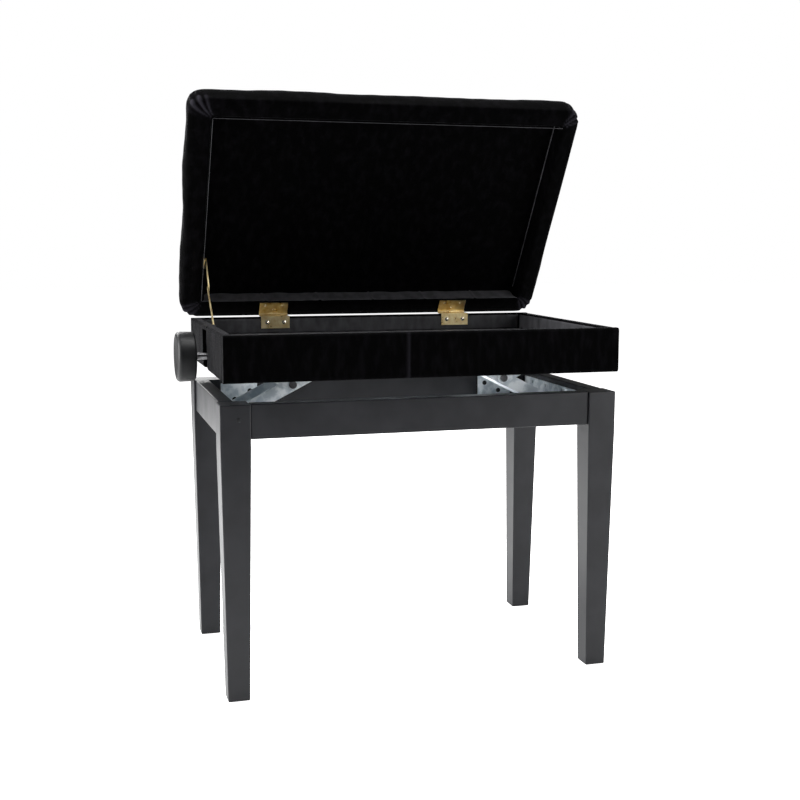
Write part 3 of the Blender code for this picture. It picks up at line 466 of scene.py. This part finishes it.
def lidCoverGrid():
    # rings from the hollow's floor out over the rim, round the edge and in over the crowned top
    under = railLow[2] - lidCover["underOut"]
    top = padHigh[2] - lidCover["crown"] - lidCover["topDrop"]
    floor = boardLow[2] - lidCover["floorGap"]
    start = lidCover["startInset"]
    radius = lidCover["cornerRadius"]
    inner = recessOutline(-lidCover["hollowIn"], lidCover["hollowRadius"])
    lip = recessOutline(-lidCover["lipIn"], lidCover["lipRadius"])
    rows = [ringRow(shrunk(inner, share), floor) for share in (0.02, 0.4, 0.8)]
    rows += [ringRow(inner, floor), ringRow(inner, under + lidCover["lipRise"]), ringRow(lip, under)]
    # the side is two quarter ovals that meet at the belly: inset grows with 1 less cos of the turn
    belly = under + lidCover["bellyRise"]
    for turn in np.radians(np.linspace(-90, 0, 6)):
        inset = start + lidCover["underIn"] * (1 - cos(turn) ** lidCover["underPower"])
        rows.append(ringRow(lidOutline(inset, radius - inset), belly + lidCover["bellyRise"] * sin(turn)))
    for turn in np.radians(np.linspace(12, 90, 7)):
        inset = start + lidCover["topIn"] * (1 - cos(turn) ** lidCover["topPower"])
        outline = lidOutline(inset, max(radius - inset, lidCover["topRadius"]))
        rows.append(ringRow(outline, belly + (top - belly) * sin(turn)))
    edge = lidOutline(start + lidCover["topIn"], lidCover["topRadius"])
    for share in (0.85, 0.6, 0.35, 0.1):
        rows.append(ringRow(shrunk(edge, share), top + lidCover["crown"] * (1 - share ** 2)))
    return np.stack(rows)


def inflate(obj, pinned):
    # a cloth run under pressure without gravity; no point may end farther than the cap from its start
    start = vertexRows(obj.data, "co")
    group = obj.vertex_groups.new(name="pinned")
    group.add(np.nonzero(pinned)[0].tolist(), 1.0, "REPLACE")
    cloth = obj.modifiers.new("cloth", "CLOTH")
    settings = cloth.settings
    settings.quality = lidCover["quality"]
    settings.mass = lidCover["mass"]
    settings.tension_stiffness = lidCover["stretch"]
    settings.compression_stiffness = lidCover["stretch"]
    settings.bending_stiffness = lidCover["bend"]
    settings.use_pressure = True
    settings.uniform_pressure_force = lidCover["pressure"]
    settings.vertex_group_mass = "pinned"
    settings.effector_weights.gravity = 0
    cloth.point_cache.frame_start = 1
    cloth.point_cache.frame_end = lidCover["frames"]
    scene = bpy.context.scene
    for step in range(1, lidCover["frames"] + 1):
        scene.frame_set(step)
    evaluated = obj.evaluated_get(bpy.context.evaluated_depsgraph_get())
    end = vertexRows(evaluated.data, "co")
    obj.modifiers.remove(cloth)
    obj.vertex_groups.remove(group)
    scene.frame_set(1)
    move = end - start
    length = np.linalg.norm(move, axis=1) * 1000
    print("cloth moved by", round(float(length.mean()), 2), "mm, at most", round(float(length.max()), 2))
    # only the outward part is kept, because a blown-up top pulls the sides in
    normal = vertexRows(obj.data, "normal")
    outward = np.clip((move * normal).sum(axis=1, keepdims=True), 0, lidCover["cap"])
    return start + outward * normal


def inHollow(co, side, above):
    # true for points in the lid's hollow, grown by side round its edge and by above over the lining
    return ((np.abs(co[:, 0] - middleX) < middleX - sideHigh[0] + side)
            & (co[:, 1] > rearHigh[1] - side) & (co[:, 1] < railLow[1] + side)
            & (co[:, 2] < liningHigh[2] + above))


def cornerFolds(co, under):
    # how strongly each point lies in the fan round a corner of the hollow, and its place between a fold's
    # dip and crest: cos of the turn about that corner, which skews further out
    centreY = (padLow[1] + padHigh[1]) / 2
    dx = np.abs(co[:, 0] - middleX) - (middleX - sideHigh[0]) + lidCover["fanBack"]
    dy = np.abs(co[:, 1] - centreY) - (railLow[1] - rearHigh[1]) / 2 + lidCover["fanBack"]
    turn = np.arctan2(dy, dx)
    away = np.hypot(dx, dy)
    fan = np.exp(-((turn - pi / 4) / lidCover["fanWidth"]) ** 4)
    fan = fan * np.clip((away - lidCover["fanStart"]) / lidCover["fanFade"], 0, 1)
    fan *= (dx > 0) & (dy > 0) & (co[:, 2] < under + lidCover["fanHeight"])
    skew = lidCover["gatherSkew"] * np.sign(co[:, 0] - middleX) * np.sign(co[:, 1] - centreY)
    folds = np.cos((turn + skew * away / lidCover["skewReach"]) * 4 * lidCover["gathers"])
    return fan, folds


def makeLidCover():
    obj = closedTube("velvet_lid_cover", lidCoverGrid())
    remesh = obj.modifiers.new("even cells", "REMESH")
    remesh.mode = "VOXEL"
    remesh.voxel_size = lidCover["cell"]
    mesh = evaluatedMesh(obj)
    flat = vertexRows(mesh, "co")
    under = railLow[2] - lidCover["underOut"]
    pinned = (flat[:, 2] < under + lidCover["pinned"]) | inHollow(flat, 0.002, 0.003)
    flat = inflate(obj, pinned)
    mesh.vertices.foreach_set("co", flat.ravel())
    smoother = obj.modifiers.new("one subdivision", "SUBSURF")
    smoother.levels = smoother.render_levels = 1
    fine = evaluatedMesh(obj)
    co = vertexRows(fine, "co")
    # slow and fine unevenness along the normal, plus the folds at the corners
    normal = vertexRows(fine, "normal")
    raised = np.clip((co[:, 2] - under - lidCover["waveStart"]) / lidCover["waveFade"], 0, 1)
    shift = lidCover["wave"] * smoothNoise(co, lidCover["waveSize"], 3) * raised
    shift += lidCover["fineShare"] * lidCover["wave"] * smoothNoise(co, lidCover["fineSize"], 5) * raised
    fan, folds = cornerFolds(co, under)
    shift += lidCover["gatherDepth"] * fan * (folds - lidCover["gatherLevel"])
    shift[inHollow(co, 0.001, 0.002)] = 0
    co = co + normal * shift[:, None]
    # painted sheen on the corner folds: pressed pile drawn lighter, strongest on the crests and only near the
    # underside
    crushSheen = fan * np.clip(0.45 + 0.55 * folds, 0, 1) * (co[:, 2] < under + lidCover["crushSheenHeight"])
    fine.attributes.new("crushSheen", "FLOAT", "POINT").data.foreach_set("value", crushSheen)
    fine.vertices.foreach_set("co", lidPlace(co).ravel())
    fine.flip_normals()          # lid coordinates are a mirror image of the frame's
    fine.update()
    fine.shade_smooth()
    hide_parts("seat_cushion", "lid_rear_rail", "lid_front_rail", "lid_left_rail", "lid_right_rail")
    finishPiece(obj, "velvet", "lid")
    print("lid cover:", len(fine.polygons), "faces")


piping = {
    "rimRadius": 0.0004,
    "rimDrop": 0.0008,           # centre of the rim's piping below the frame
    "panelRadius": 0.0009,
    "panelDrop": 0.0012,         # centre of the panel's piping below the lining
    "panelIn": 0.0022,           # and in from the rim's right side
    "left": 0.0002,              # places in from the hollow's four sides
    "right": 0.0006,
    "rear": 0.003,
    "front": 0.0002,
    "steps": 60,
    "sides": 10,
    "wave": 0.0002,
    "waveSize": 0.05,
}


def makePiping(name, corners, rise, radius):
    # a small circle carried along straight runs between corners, given as x and reach
    share = np.linspace(0, 1, piping["steps"])[:, None]
    path = np.concatenate([start + (end - start) * share
                           for start, end in zip(np.array(corners[:-1]), np.array(corners[1:]))])
    # where two runs meet, the second copy of the corner is dropped
    path = np.concatenate([path[:1], path[1:][np.linalg.norm(np.diff(path, axis=0), axis=1) > 1e-6]])
    following = np.gradient(path, axis=0)
    following /= np.linalg.norm(following, axis=1, keepdims=True)
    outward = np.stack([following[:, 1], -following[:, 0]], axis=1)
    turn = np.linspace(0, 2 * pi, piping["sides"], endpoint=False)
    grid = np.zeros((len(path), len(turn), 3))
    grid[..., :2] = path[:, None] + outward[:, None] * (radius * np.cos(turn))[None, :, None]
    grid[..., 2] = rise + radius * np.sin(turn)
    grid[..., 2] += piping["wave"] * smoothNoise(grid, piping["waveSize"], 8)
    finishPiece(closedTube(name, lidPlace(grid)), "satin", "lid")


def makePipings():
    # along the rim on the left and front, and along the panel's edge on the right
    left = sideHigh[0] + piping["left"]
    right = 2 * middleX - sideHigh[0] - piping["right"]
    rear = rearHigh[1] + piping["rear"]
    front = railLow[1] - piping["front"]
    panelX = right - piping["panelIn"]
    makePiping("lid_piping_rim", [(left, rear), (left, front), (right, front)],
               railLow[2] - piping["rimDrop"], piping["rimRadius"])
    makePiping("lid_piping_panel", [(panelX, rear), (panelX, front)],
               liningLow[2] - piping["panelDrop"], piping["panelRadius"])


recessPanel = {"gap": 0.0008, "lift": 0.0002, "wave": 0.0003, "waveSize": 0.06, "thick": 0.0008}


def makeRecessPanel():
    # the hollow's floor: a plain grid over the lining's box, eased up and down by slow noise
    gap = recessPanel["gap"]
    x = np.linspace(sideHigh[0] + gap, 2 * middleX - sideHigh[0] - gap, 130)
    reach = np.linspace(rearHigh[1] + gap, railLow[1] - gap, 80)
    across, along = np.meshgrid(x, reach)
    grid = np.stack([across, along, np.full_like(across, liningLow[2] + recessPanel["lift"])], axis=-1)
    grid[..., 2] += recessPanel["wave"] * np.clip(smoothNoise(grid, recessPanel["waveSize"], 11), -1, 0.6)
    obj = openSheet("recess_panel", lidPlace(grid), recessPanel["thick"])
    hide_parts("lid_lining")
    finishPiece(obj, "velvet", "lid")


recessBand = {
    "gap": 0.0012,               # to the hollow's left and right side
    "lower": 0.0010,             # the strip's two edges, in from the rim and from the lining
    "upper": 0.0006,
    "standOff": 0.0004,          # from the hollow's wall
    "pleats": 6,
    "pleatDepth": 0.0012,
    "pleatWidth": 0.018,         # as a share of the way from one pleat to the next
    "firstPleat": 0.35,
    "lean": 0.008,
    "wave": 0.0004,
    "waveSize": 0.05,
    "thick": 0.0005,
}


def makeRecessBand():
    # a satin strip on the hinge side of the hollow with sharp pleats: each is a narrow bell that stands off
    # the wall, on a strip whose distance from the wall varies slowly
    gap = recessBand["gap"]
    x = np.linspace(sideHigh[0] + gap, 2 * middleX - sideHigh[0] - gap, 420)
    rises = np.linspace(railLow[2] + recessBand["lower"], liningLow[2] - recessBand["upper"], 12)
    deep = np.linspace(0, 1, len(rises))[:, None]
    share = (x - x[0]) / (x[-1] - x[0])
    phase = (share[None] + recessBand["lean"] * deep) * recessBand["pleats"] + recessBand["firstPleat"]
    pleat = np.exp(-((phase - np.floor(phase) - 0.5) / recessBand["pleatWidth"]) ** 2)
    grid = np.zeros((len(rises), len(x), 3))
    grid[..., 0] = x
    grid[..., 2] = rises[:, None]
    grid[..., 1] = rearHigh[1] + recessBand["standOff"]
    ripple = recessBand["wave"] * smoothNoise(grid, recessBand["waveSize"], 15)
    grid[..., 1] += recessBand["pleatDepth"] * pleat * (1 - 0.5 * deep) + ripple
    obj = openSheet("recess_band", lidPlace(grid), recessBand["thick"])
    finishPiece(obj, "satin", "lid")


lidPanel = {"inset": 0.0045, "cornerRadius": 0.018}


def makeLidBoard():
    # the board with its corners rounded, hidden between lining and pad
    outline = lidOutline(lidPanel["inset"], lidPanel["cornerRadius"])
    grid = np.stack([ringRow(outline, boardLow[2]), ringRow(outline, boardHigh[2])])
    obj = closedTube("lid_panel", lidPlace(grid), False)
    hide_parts("lid_board")
    finishPiece(obj, "plywood", "lid")


makeLidCover()
makeLidBoard()
makePipings()
makeRecessPanel()
makeRecessBand()
print("lid made")


# velvet box walls
boxWrap = {
    "edge": 0.0042,              # rounding of the wrapped edges
    "wave": 0.00045,
    "waveSize": 0.09,
    "waveMost": 0.0003,          # no ripple stands out further than this
    "creaseDepth": 0.0009,
    "creaseWidth": 0.0024,
    "creasePlace": -0.030,       # along the front wall from its middle
    "ridgeShare": 0.6,           # the ridge beside the crease
    "ridgePlace": 0.0045,
    "ridgeWidth": 0.0030,
    "crushSheen": 0.55,               # how strongly a painted sheen lightens the pile along the crease
    "crushSheenWidth": 0.0016,
    "lining": 0.0005,            # satin on the inner faces
    "liningGap": 0.0003,
    "notchBlend": 0.0006,        # extra stations this far to both sides of a notch's ends
    "notchSteep": 0.00012,
}


def wallProfile(thick, height):
    # a rectangle with rounded corners, as (across, height), going round once
    return roundedRect(thick / 2, height / 2, boxWrap["edge"], 5, 9) + np.array([0, height / 2])


def makeWall(name, alongX, outward, seed, crease=False, notch=None, lined=True):
    # the wall's profile carried along its length; bottom rises over the notch as a steep smooth step
    low, high = cornersOf(name)
    axis = 0 if alongX else 1
    cross = 1 - axis
    inner = low[cross] if outward > 0 else high[cross]
    outer = high[cross] if outward > 0 else low[cross]
    if lined:
        inner += outward * (boxWrap["lining"] + boxWrap["liningGap"])
    thick = abs(outer - inner)
    stations = np.linspace(low[axis], high[axis], 220)
    if notch:
        step = boxWrap["notchBlend"]
        extra = np.concatenate([np.linspace(end - step, end + step, 7) for end in notch[:2]])
        stations = np.unique(np.concatenate([stations, extra]))
    height = high[2] - low[2]
    profile = wallProfile(thick, height)
    grid = np.zeros((len(stations), len(profile), 3))
    grid[..., axis] = stations[:, None]
    grid[..., cross] = profile[None, :, 0] + (outer + inner) / 2
    bottom = np.full(len(stations), low[2])
    if notch:
        start, end, roof = notch
        steep = boxWrap["notchSteep"]
        rise = 1 / (1 + np.exp(-(stations - start) / steep)) / (1 + np.exp((stations - end) / steep))
        bottom = low[2] + (roof - low[2]) * rise
    # heights squeeze towards the top edge where the bottom is raised
    share = profile[None, :, 1] / height
    grid[..., 2] = bottom[:, None] + (high[2] - bottom[:, None]) * share
    facing = np.clip(outward * profile[None, :, 0] / (thick / 2), 0, 1)
    ripple = smoothNoise(grid, boxWrap["waveSize"], seed) * boxWrap["wave"]
    if crease:
        along = stations - (low[axis] + high[axis]) / 2 - boxWrap["creasePlace"]
        beside = (along - boxWrap["ridgePlace"]) / boxWrap["ridgeWidth"]
        ridge = boxWrap["ridgeShare"] * np.exp(-beside ** 2)
        fold = (np.exp(-(along / boxWrap["creaseWidth"]) ** 2) - ridge) * boxWrap["creaseDepth"]
        ripple = ripple - fold[:, None]
    grid[..., cross] += outward * np.minimum(ripple, boxWrap["waveMost"]) * facing
    obj = closedTube("velvet_" + name, grid)
    obj.data.set_sharp_from_angle(angle=radians(60))
    if crease:
        # painted sheen: a pale line of pressed pile along the crease
        along = vertexRows(obj.data, "co")[:, axis] - (low[axis] + high[axis]) / 2 - boxWrap["creasePlace"]
        line = boxWrap["crushSheen"] * np.exp(-(along / boxWrap["crushSheenWidth"]) ** 2)
        obj.data.attributes.new("crushSheen", "FLOAT", "POINT").data.foreach_set("value", line)
    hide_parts(name)
    finishPiece(obj, "velvet", "music_box")


spindleY = joints["knob_turn"]["pos_m"][1]
notchShape = {"front": 0.012, "rear": 0.030, "roofDrop": 0.0062}
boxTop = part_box("box_left_wall")[1][2]
notch = (spindleY - notchShape["front"], spindleY + notchShape["rear"], boxTop - notchShape["roofDrop"])
makeWall("box_front_wall", True, -1, 14, crease=True)
makeWall("box_rear_wall", True, 1, 13)
makeWall("box_right_wall", False, 1, 14)
makeWall("box_left_wall", False, -1, 13, notch=notch, lined=False)


wallLining = {
    "alongXInset": 0.0170,       # the front and rear strips stop short of the side walls
    "alongYInset": 0.0010,
    "floorGap": 0.0006,
    "topDrop": 0.0025,
    "slant": 0.010,              # how far a tuck leans from its lower end to its upper
    "tucksPerMetre": 11.0,
    "tuckWidth": 0.018,
    "tuckDepth": 0.00038,
    "wave": 0.0004,              # ripple of the lower edge
    "waveRate": 95,
    "thick": 0.0002,
}


def makeWallLining(name, alongX, outward, seed):
    # a strip of satin on the inner face, with slanting tucks that stand off the wall and a lower edge
    # that ripples as a sine
    low, high = cornersOf(name)
    axis, cross = (0, 1) if alongX else (1, 0)
    inner = (low if outward > 0 else high)[cross] + outward * boxWrap["liningGap"]
    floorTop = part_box("box_floor")[1][2]
    inset = wallLining["alongXInset"] if alongX else wallLining["alongYInset"]
    along = np.linspace(low[axis] + inset, high[axis] - inset, 160)
    height = np.linspace(floorTop + wallLining["floorGap"], high[2] - wallLining["topDrop"], 10)
    share = (height - height[0]) / (height[-1] - height[0])
    grid = np.zeros((len(height), len(along), 3))
    slant = along[None, :] - wallLining["slant"] * share[:, None]
    tucks = np.exp(-(((slant * wallLining["tucksPerMetre"]) % 1 - 0.5) / wallLining["tuckWidth"]) ** 2)
    ripple = wallLining["wave"] * np.sin(along * wallLining["waveRate"] + seed)
    grid[..., axis] = along[None, :]
    grid[..., cross] = inner + outward * wallLining["tuckDepth"] * tucks
    grid[..., 2] = height[:, None] + ripple[None, :] * (1 - share[:, None])
    obj = openSheet("satin_" + name, grid, wallLining["thick"])
    finishPiece(obj, "satin", "music_box")


makeWallLining("box_front_wall", True, -1, 1)
makeWallLining("box_rear_wall", True, 1, 2)
makeWallLining("box_right_wall", False, 1, 3)


floorCloth = {"gap": 0.001, "lift": 0.0004, "wrinkle": 0.0005, "wrinkleSize": 0.10, "thick": 0.0003}


def makeFloorCloth():
    # a sheet on the floor board, lifted here and there by slow wrinkles
    low, high = cornersOf("box_floor")
    gap = floorCloth["gap"]
    x = np.linspace(low[0] + gap, high[0] - gap, 110)
    y = np.linspace(low[1] + gap, high[1] - gap, 70)
    across, along = np.meshgrid(x, y)
    grid = np.stack([across, along, np.full_like(across, high[2] + floorCloth["lift"])], axis=-1)
    grid[..., 2] += floorCloth["wrinkle"] * np.clip(smoothNoise(grid, floorCloth["wrinkleSize"], 21), 0, 1)
    obj = openSheet("satin_box_floor", grid, floorCloth["thick"])
    finishPiece(obj, "satin", "music_box")


makeFloorCloth()
print("music box made")


# knob and spindle
knobShape = {
    "rim": 0.0058,               # rounding of the outer face
    "innerRim": 0.0034,          # rounding of the face towards the bench
    "innerInset": 0.0006,        # that face's edge is this much smaller
    "hubGap": 0.0004,            # round the shaft
    "backRing": 0.55,            # a ring on the inner face, as a share of the radius
    "lip": 0.0006,
    "step": 0.0004,              # fine step between lip and dish
    "dish": 0.0024,
    "dishFlat": 0.0115,
    "segments": 128,
}


def makeKnob():
    # the CAD knob's length and radius, with a rounded rim, a fine step inside it and a shallow dish
    low, high = cornersOf("knob")
    shaftLow, shaftHigh = cornersOf("spindle")
    radius = (high[2] - low[2]) / 2
    hubRadius = (shaftHigh[2] - shaftLow[2]) / 2 + knobShape["hubGap"]
    outerX = low[0]
    innerX = high[0]
    rim = knobShape["rim"]
    innerRim = knobShape["innerRim"]
    step = knobShape["step"]
    axisPoint = [0, (low[1] + high[1]) / 2, (low[2] + high[2]) / 2]
    innerEdge = radius - innerRim - knobShape["innerInset"]
    profile = [(innerX, hubRadius), (innerX, radius * knobShape["backRing"]), (innerX, innerEdge)]
    profile += [(innerX - innerRim + a, innerEdge + b) for a, b in cornerRound(innerRim, 0, 90, 8)]
    profile += [(outerX + rim - a, radius - rim + b) for a, b in cornerRound(rim, 90, 0, 10)]
    stepRadius = radius - rim - knobShape["lip"]
    profile += [(outerX, stepRadius), (outerX + step, stepRadius - step)]
    share = np.linspace(0, 1, 8)[1:]
    dishRadius = stepRadius - step + (knobShape["dishFlat"] - stepRadius) * share
    profile += list(zip(outerX + step + knobShape["dish"] * np.sin(share * pi / 2), dishRadius))
    profile.append((outerX + step + knobShape["dish"], 0.0002))
    obj = turned("hand_knob", profile, axisPoint, knobShape["segments"])
    obj.data.set_sharp_from_angle(angle=radians(32))
    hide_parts("knob")
    finishPiece(obj, "plastic", "spindle")


threadShape = {"pitch": 0.005, "depth": 0.0007, "perPitch": 8, "segments": 24,
               "plainEnd": 0.012,           # plain shaft beside each collar
               "runOut": 0.002, "chamfer": 0.0007, "chamferLength": 0.001}


def makeSpindle():
    # radius less depth times a triangle wave of (along over pitch, less turn), mirrored past the middle
    low, high = cornersOf("spindle")
    radius = (high[2] - low[2]) / 2
    runOut = threadShape["runOut"]
    chamfer = threadShape["chamferLength"]
    threadStart = cornersOf("spindle_collar_left")[1][0] + threadShape["plainEnd"]
    threadEnd = cornersOf("spindle_collar_right")[0][0] - threadShape["plainEnd"]
    along = np.arange(threadStart, threadEnd, threadShape["pitch"] / threadShape["perPitch"])
    along = np.concatenate([[low[0], low[0] + chamfer, threadStart - runOut], along,
                            [threadEnd + runOut, high[0] - chamfer, high[0]]])
    turn = np.linspace(0, 2 * pi, threadShape["segments"], endpoint=False)
    middle = (threadStart + threadEnd) / 2
    wave = (np.abs(along - middle)[:, None] / threadShape["pitch"] - turn[None, :] / (2 * pi)) % 1
    depth = threadShape["depth"] * np.abs(2 * wave - 1)
    threaded = ((along >= threadStart) & (along <= threadEnd))[:, None]
    rod = radius - np.where(threaded, depth, 0)
    rod[[0, -1]] -= threadShape["chamfer"]
    grid = np.stack([np.repeat(along[:, None], len(turn), axis=1),
                     rod * np.cos(turn) + (low[1] + high[1]) / 2,
                     rod * np.sin(turn) + (low[2] + high[2]) / 2], axis=-1)
    obj = closedTube("threaded_spindle", grid)
    obj.data.set_sharp_from_angle(angle=radians(40))
    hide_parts("spindle")
    finishPiece(obj, "steel", "spindle")


makeKnob()
makeSpindle()
print("knob and spindle made")


# small screws
screwShape = {"radius": 0.0031, "dome": 0.0008, "cross": 0.0018, "slot": 0.0005, "crossDepth": 0.0005,
              "sunk": 0.0002, "segments": 20}


def screwHead(centre, facing, spin, grow=1.0):
    # a shallow dome turned about the facing direction with a cross pressed in its middle:
    # height is dome times (1 less share squared), less the cross where either axis is narrower than the slot
    radius, dome = screwShape["radius"] * grow, screwShape["dome"] * grow
    share = np.array([1.0, 0.96, 0.8, 0.6, 0.45, 0.3, 0.15, 0.02])
    turn = np.linspace(0, 2 * pi, screwShape["segments"], endpoint=False)
    u = radius * share[:, None] * np.cos(turn)
    v = radius * share[:, None] * np.sin(turn)
    height = np.repeat((dome * (1 - share ** 2))[:, None], len(turn), axis=1)
    inCross = (np.minimum(np.abs(u), np.abs(v)) < screwShape["slot"]) & (np.hypot(u, v) < screwShape["cross"])
    height = np.where(inCross, height - screwShape["crossDepth"], height)
    facing = np.array(facing, float)
    facing /= np.linalg.norm(facing)
    side = np.cross(facing, [1, 0, 0] if abs(facing[0]) < 0.9 else [0, 1, 0])
    side /= np.linalg.norm(side)
    up = np.cross(facing, side)
    a = cos(spin) * side + sin(spin) * up
    b = -sin(spin) * side + cos(spin) * up
    top = np.array(centre) + u[..., None] * a + v[..., None] * b + height[..., None] * facing
    base = top[:1] - facing * screwShape["sunk"]
    return np.concatenate([base, top])


def makeScrews(name, places, finish, body, grow=1.0):
    # every head is turned a little further than the one before it
    verts, faces = [], []
    for number, (centre, facing) in enumerate(places):
        grid = screwHead(centre, facing, 0.4 + 1.7 * number, grow)
        offset = sum(len(v) for v in verts)
        rows, cols = grid.shape[:2]
        part = np.array(gridFaces(rows, cols, True)) + offset
        faces += part.tolist()
        faces += [[offset + i for i in range(cols)][::-1],
                  [offset + (rows - 1) * cols + i for i in range(cols)]]
        verts.append(grid.reshape(-1, 3))
    obj = newPiece(name, np.concatenate(verts), faces)
    obj.data.set_sharp_from_angle(angle=radians(35))
    finishPiece(obj, finish, body)


hingeScrews = {"side": 0.0135, "boxDrop": 0.011, "lidFar": 0.0165, "lidNear": 0.0085, "boxOut": 0.0001,
               "lidOut": 0.0013}
lidDown = lidPlace(np.array([0, 0, 0.0])) - lidPlace(np.array([0, 0, 1.0]))
boxPlaces, lidPlaces = [], []
for side in ("left", "right"):
    leafLow, leafHigh = cornersOf(f"hinge_{side}_box_leaf")
    centreX = (leafLow[0] + leafHigh[0]) / 2
    aside = hingeScrews["side"]
    for x in (-aside, aside):
        boxPlaces.append(((centreX + x, leafLow[1] - hingeScrews["boxOut"],
                           lidAxis[2] - hingeScrews["boxDrop"]), (0, -1, 0)))
    leafUnder = railLow[2] - hingeScrews["lidOut"]
    for x, reach in ((-aside, hingeScrews["lidFar"]), (aside, hingeScrews["lidFar"]),
                     (0, hingeScrews["lidNear"])):
        lidPlaces.append((lidPlace(np.array([centreX + x, reach, leafUnder])), lidDown))
makeScrews("box_hinge_screws", boxPlaces, "screwBrass", "music_box")
makeScrews("lid_hinge_screws", lidPlaces, "screwBrass", "lid")

railScrews = {"nearIn": 0.0114, "nearUp": 0.0248, "farIn": 0.0405, "farUp": 0.0119, "steel": 0.0020,
              "grow": 1.2}
railPlaces = []
for side, inward in (("left", -1), ("right", 1)):
    low, high = cornersOf(f"base_rail_{side}")
    inner, outer = (high[0], low[0]) if inward < 0 else (low[0], high[0])
    for across, up in ((inner + inward * railScrews["nearIn"], railScrews["nearUp"]),
                       (outer - inward * railScrews["farIn"], railScrews["farUp"])):
        railPlaces.append(((across, high[1] - railScrews["steel"], low[2] + up), (0, -1, 0)))
        railPlaces.append(((across, low[1] + railScrews["steel"], low[2] + up), (0, 1, 0)))
makeScrews("base_rail_screws", railPlaces, "screwBlack", "base", railScrews["grow"])


# plug in the front left leg
legPlug = {"radius": 0.0030, "sunk": 0.0005, "proud": 0.0004, "aside": 0.004, "down": 0.020, "segments": 24}


def makeLegPlug():
    # a shallow disc with a bevelled edge, turned about Y on the leg's front face
    low, high = cornersOf("leg_front_left")
    turn = np.linspace(0, 2 * pi, legPlug["segments"], endpoint=False)
    radius = legPlug["radius"]
    proud = legPlug["proud"]
    profile = np.array([(legPlug["sunk"], radius), (-proud * 0.5, radius), (-proud, radius * 0.9),
                        (-proud, radius * 0.1)])
    centre = np.array([(low[0] + high[0]) / 2 + legPlug["aside"], low[1], high[2] - legPlug["down"]])
    grid = np.stack([profile[:, 1:2] * np.cos(turn), np.repeat(profile[:, :1], len(turn), axis=1),
                     profile[:, 1:2] * np.sin(turn)], axis=-1) + centre
    finishPiece(closedTube("leg_plug", grid), "plastic", "base")


makeLegPlug()
print("small pieces made")


# floor, light and camera
studio = {
    "backdrop": 1.0,
    "ambient": 0.075,
    "floorSeen": 0.97,
    "floorGlow": 0.05,
    "floorColour": (0.92, 0.92, 0.92, 1),
    "floorHalf": 12.0,
    "floorDrop": 0.0005,
    "lamps": {
        "softLeft": {"place": (-2.2, 0.15, 1.0), "aim": (0, 0, 0.42), "power": 112, "size": (1.2, 1.8)},
        "softBack": {"place": (-0.6, 2.4, 1.7), "aim": (0, 0, 0.5), "power": 60, "size": (1.8, 1.0)},
        "backRight": {"place": (2.3, 1.2, 1.2), "aim": (0, 0, 0.4), "power": 26, "size": (1.0, 1.4)},
        "softTop": {"place": (0.2, -0.1, 2.4), "aim": (0, 0, 0.4), "power": 62, "size": (1.6, 1.2)},
        "frontRight": {"place": (1.6, -1.5, 0.8), "aim": (0.30, 0, 0.30), "power": 24, "size": (1.2, 1.4)},
    },
}


def cameraOrOther(tree, seen, other, socket):
    # one strength for what the camera sees directly, another for the light it gives
    path = tree.nodes.new("ShaderNodeLightPath")
    choose = tree.nodes.new("ShaderNodeMapRange")
    choose.inputs["To Min"].default_value = other
    choose.inputs["To Max"].default_value = seen
    link(tree, path.outputs["Is Camera Ray"], choose.inputs["Value"])
    link(tree, choose.outputs["Result"], socket)


def makeStage():
    mesh = bpy.data.meshes.new("floor")
    half = studio["floorHalf"]
    corners = [(-half, -half, 0), (half, -half, 0), (half, half, 0), (-half, half, 0)]
    mesh.from_pydata(corners, [], [(0, 1, 2, 3)])
    floor = bpy.data.objects.new("floor", mesh)
    floor.location.z = cadLow[2] - studio["floorDrop"]
    bpy.context.scene.collection.objects.link(floor)
    material = bpy.data.materials.new("paleFloor")
    material.use_nodes = True
    shader = material.node_tree.nodes["Principled BSDF"]
    shader.inputs["Base Color"].default_value = studio["floorColour"]
    shader.inputs["Roughness"].default_value = 0.8
    shader.inputs["Specular IOR Level"].default_value = 0.1
    shader.inputs["Emission Color"].default_value = (1, 1, 1, 1)
    cameraOrOther(material.node_tree, studio["floorSeen"], studio["floorGlow"],
                  shader.inputs["Emission Strength"])
    mesh.materials.append(material)
    floor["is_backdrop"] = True


def areaLight(name, place, aim, power, size):
    light = bpy.data.lights.new(name, "AREA")
    light.shape = "RECTANGLE"
    light.size, light.size_y = size
    light.energy = power
    obj = bpy.data.objects.new(name, light)
    obj.location = place
    obj.rotation_euler = (Vector(aim) - Vector(place)).to_track_quat("-Z", "Y").to_euler()
    bpy.context.scene.collection.objects.link(obj)


def makeLights():
    # the backdrop is white to the camera, and lights the object at the lower ambient strength
    world = bpy.data.worlds.new("studio")
    bpy.context.scene.world = world
    world.use_nodes = True
    tree = world.node_tree
    background = tree.nodes["Background"]
    background.inputs["Color"].default_value = (1, 1, 1, 1)
    cameraOrOther(tree, studio["backdrop"], studio["ambient"], background.inputs["Strength"])
    for name, lamp in studio["lamps"].items():
        areaLight(name, **lamp)


cameraPlan = {"place": (-0.47595, -1.73006, 0.62367), "tilt": -0.13689, "turn": -0.28498, "roll": 0.00287,
              "lens": 54.30, "sensor": 36}


def makeCamera():
    camera = bpy.data.cameras.new("camera")
    camera.lens = cameraPlan["lens"]
    camera.sensor_width = cameraPlan["sensor"]
    obj = bpy.data.objects.new("camera", camera)
    aim = (Matrix.Rotation(cameraPlan["turn"], 4, "Z") @ Matrix.Rotation(pi / 2 + cameraPlan["tilt"], 4, "X")
           @ Matrix.Rotation(cameraPlan["roll"], 4, "Z"))
    obj.matrix_world = Matrix.Translation(cameraPlan["place"]) @ aim
    bpy.context.scene.collection.objects.link(obj)
    bpy.context.scene.camera = obj


bpy.context.scene.view_settings.view_transform = "Standard"
makeStage()
makeLights()
makeCamera()

low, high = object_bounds()
print("scene done")
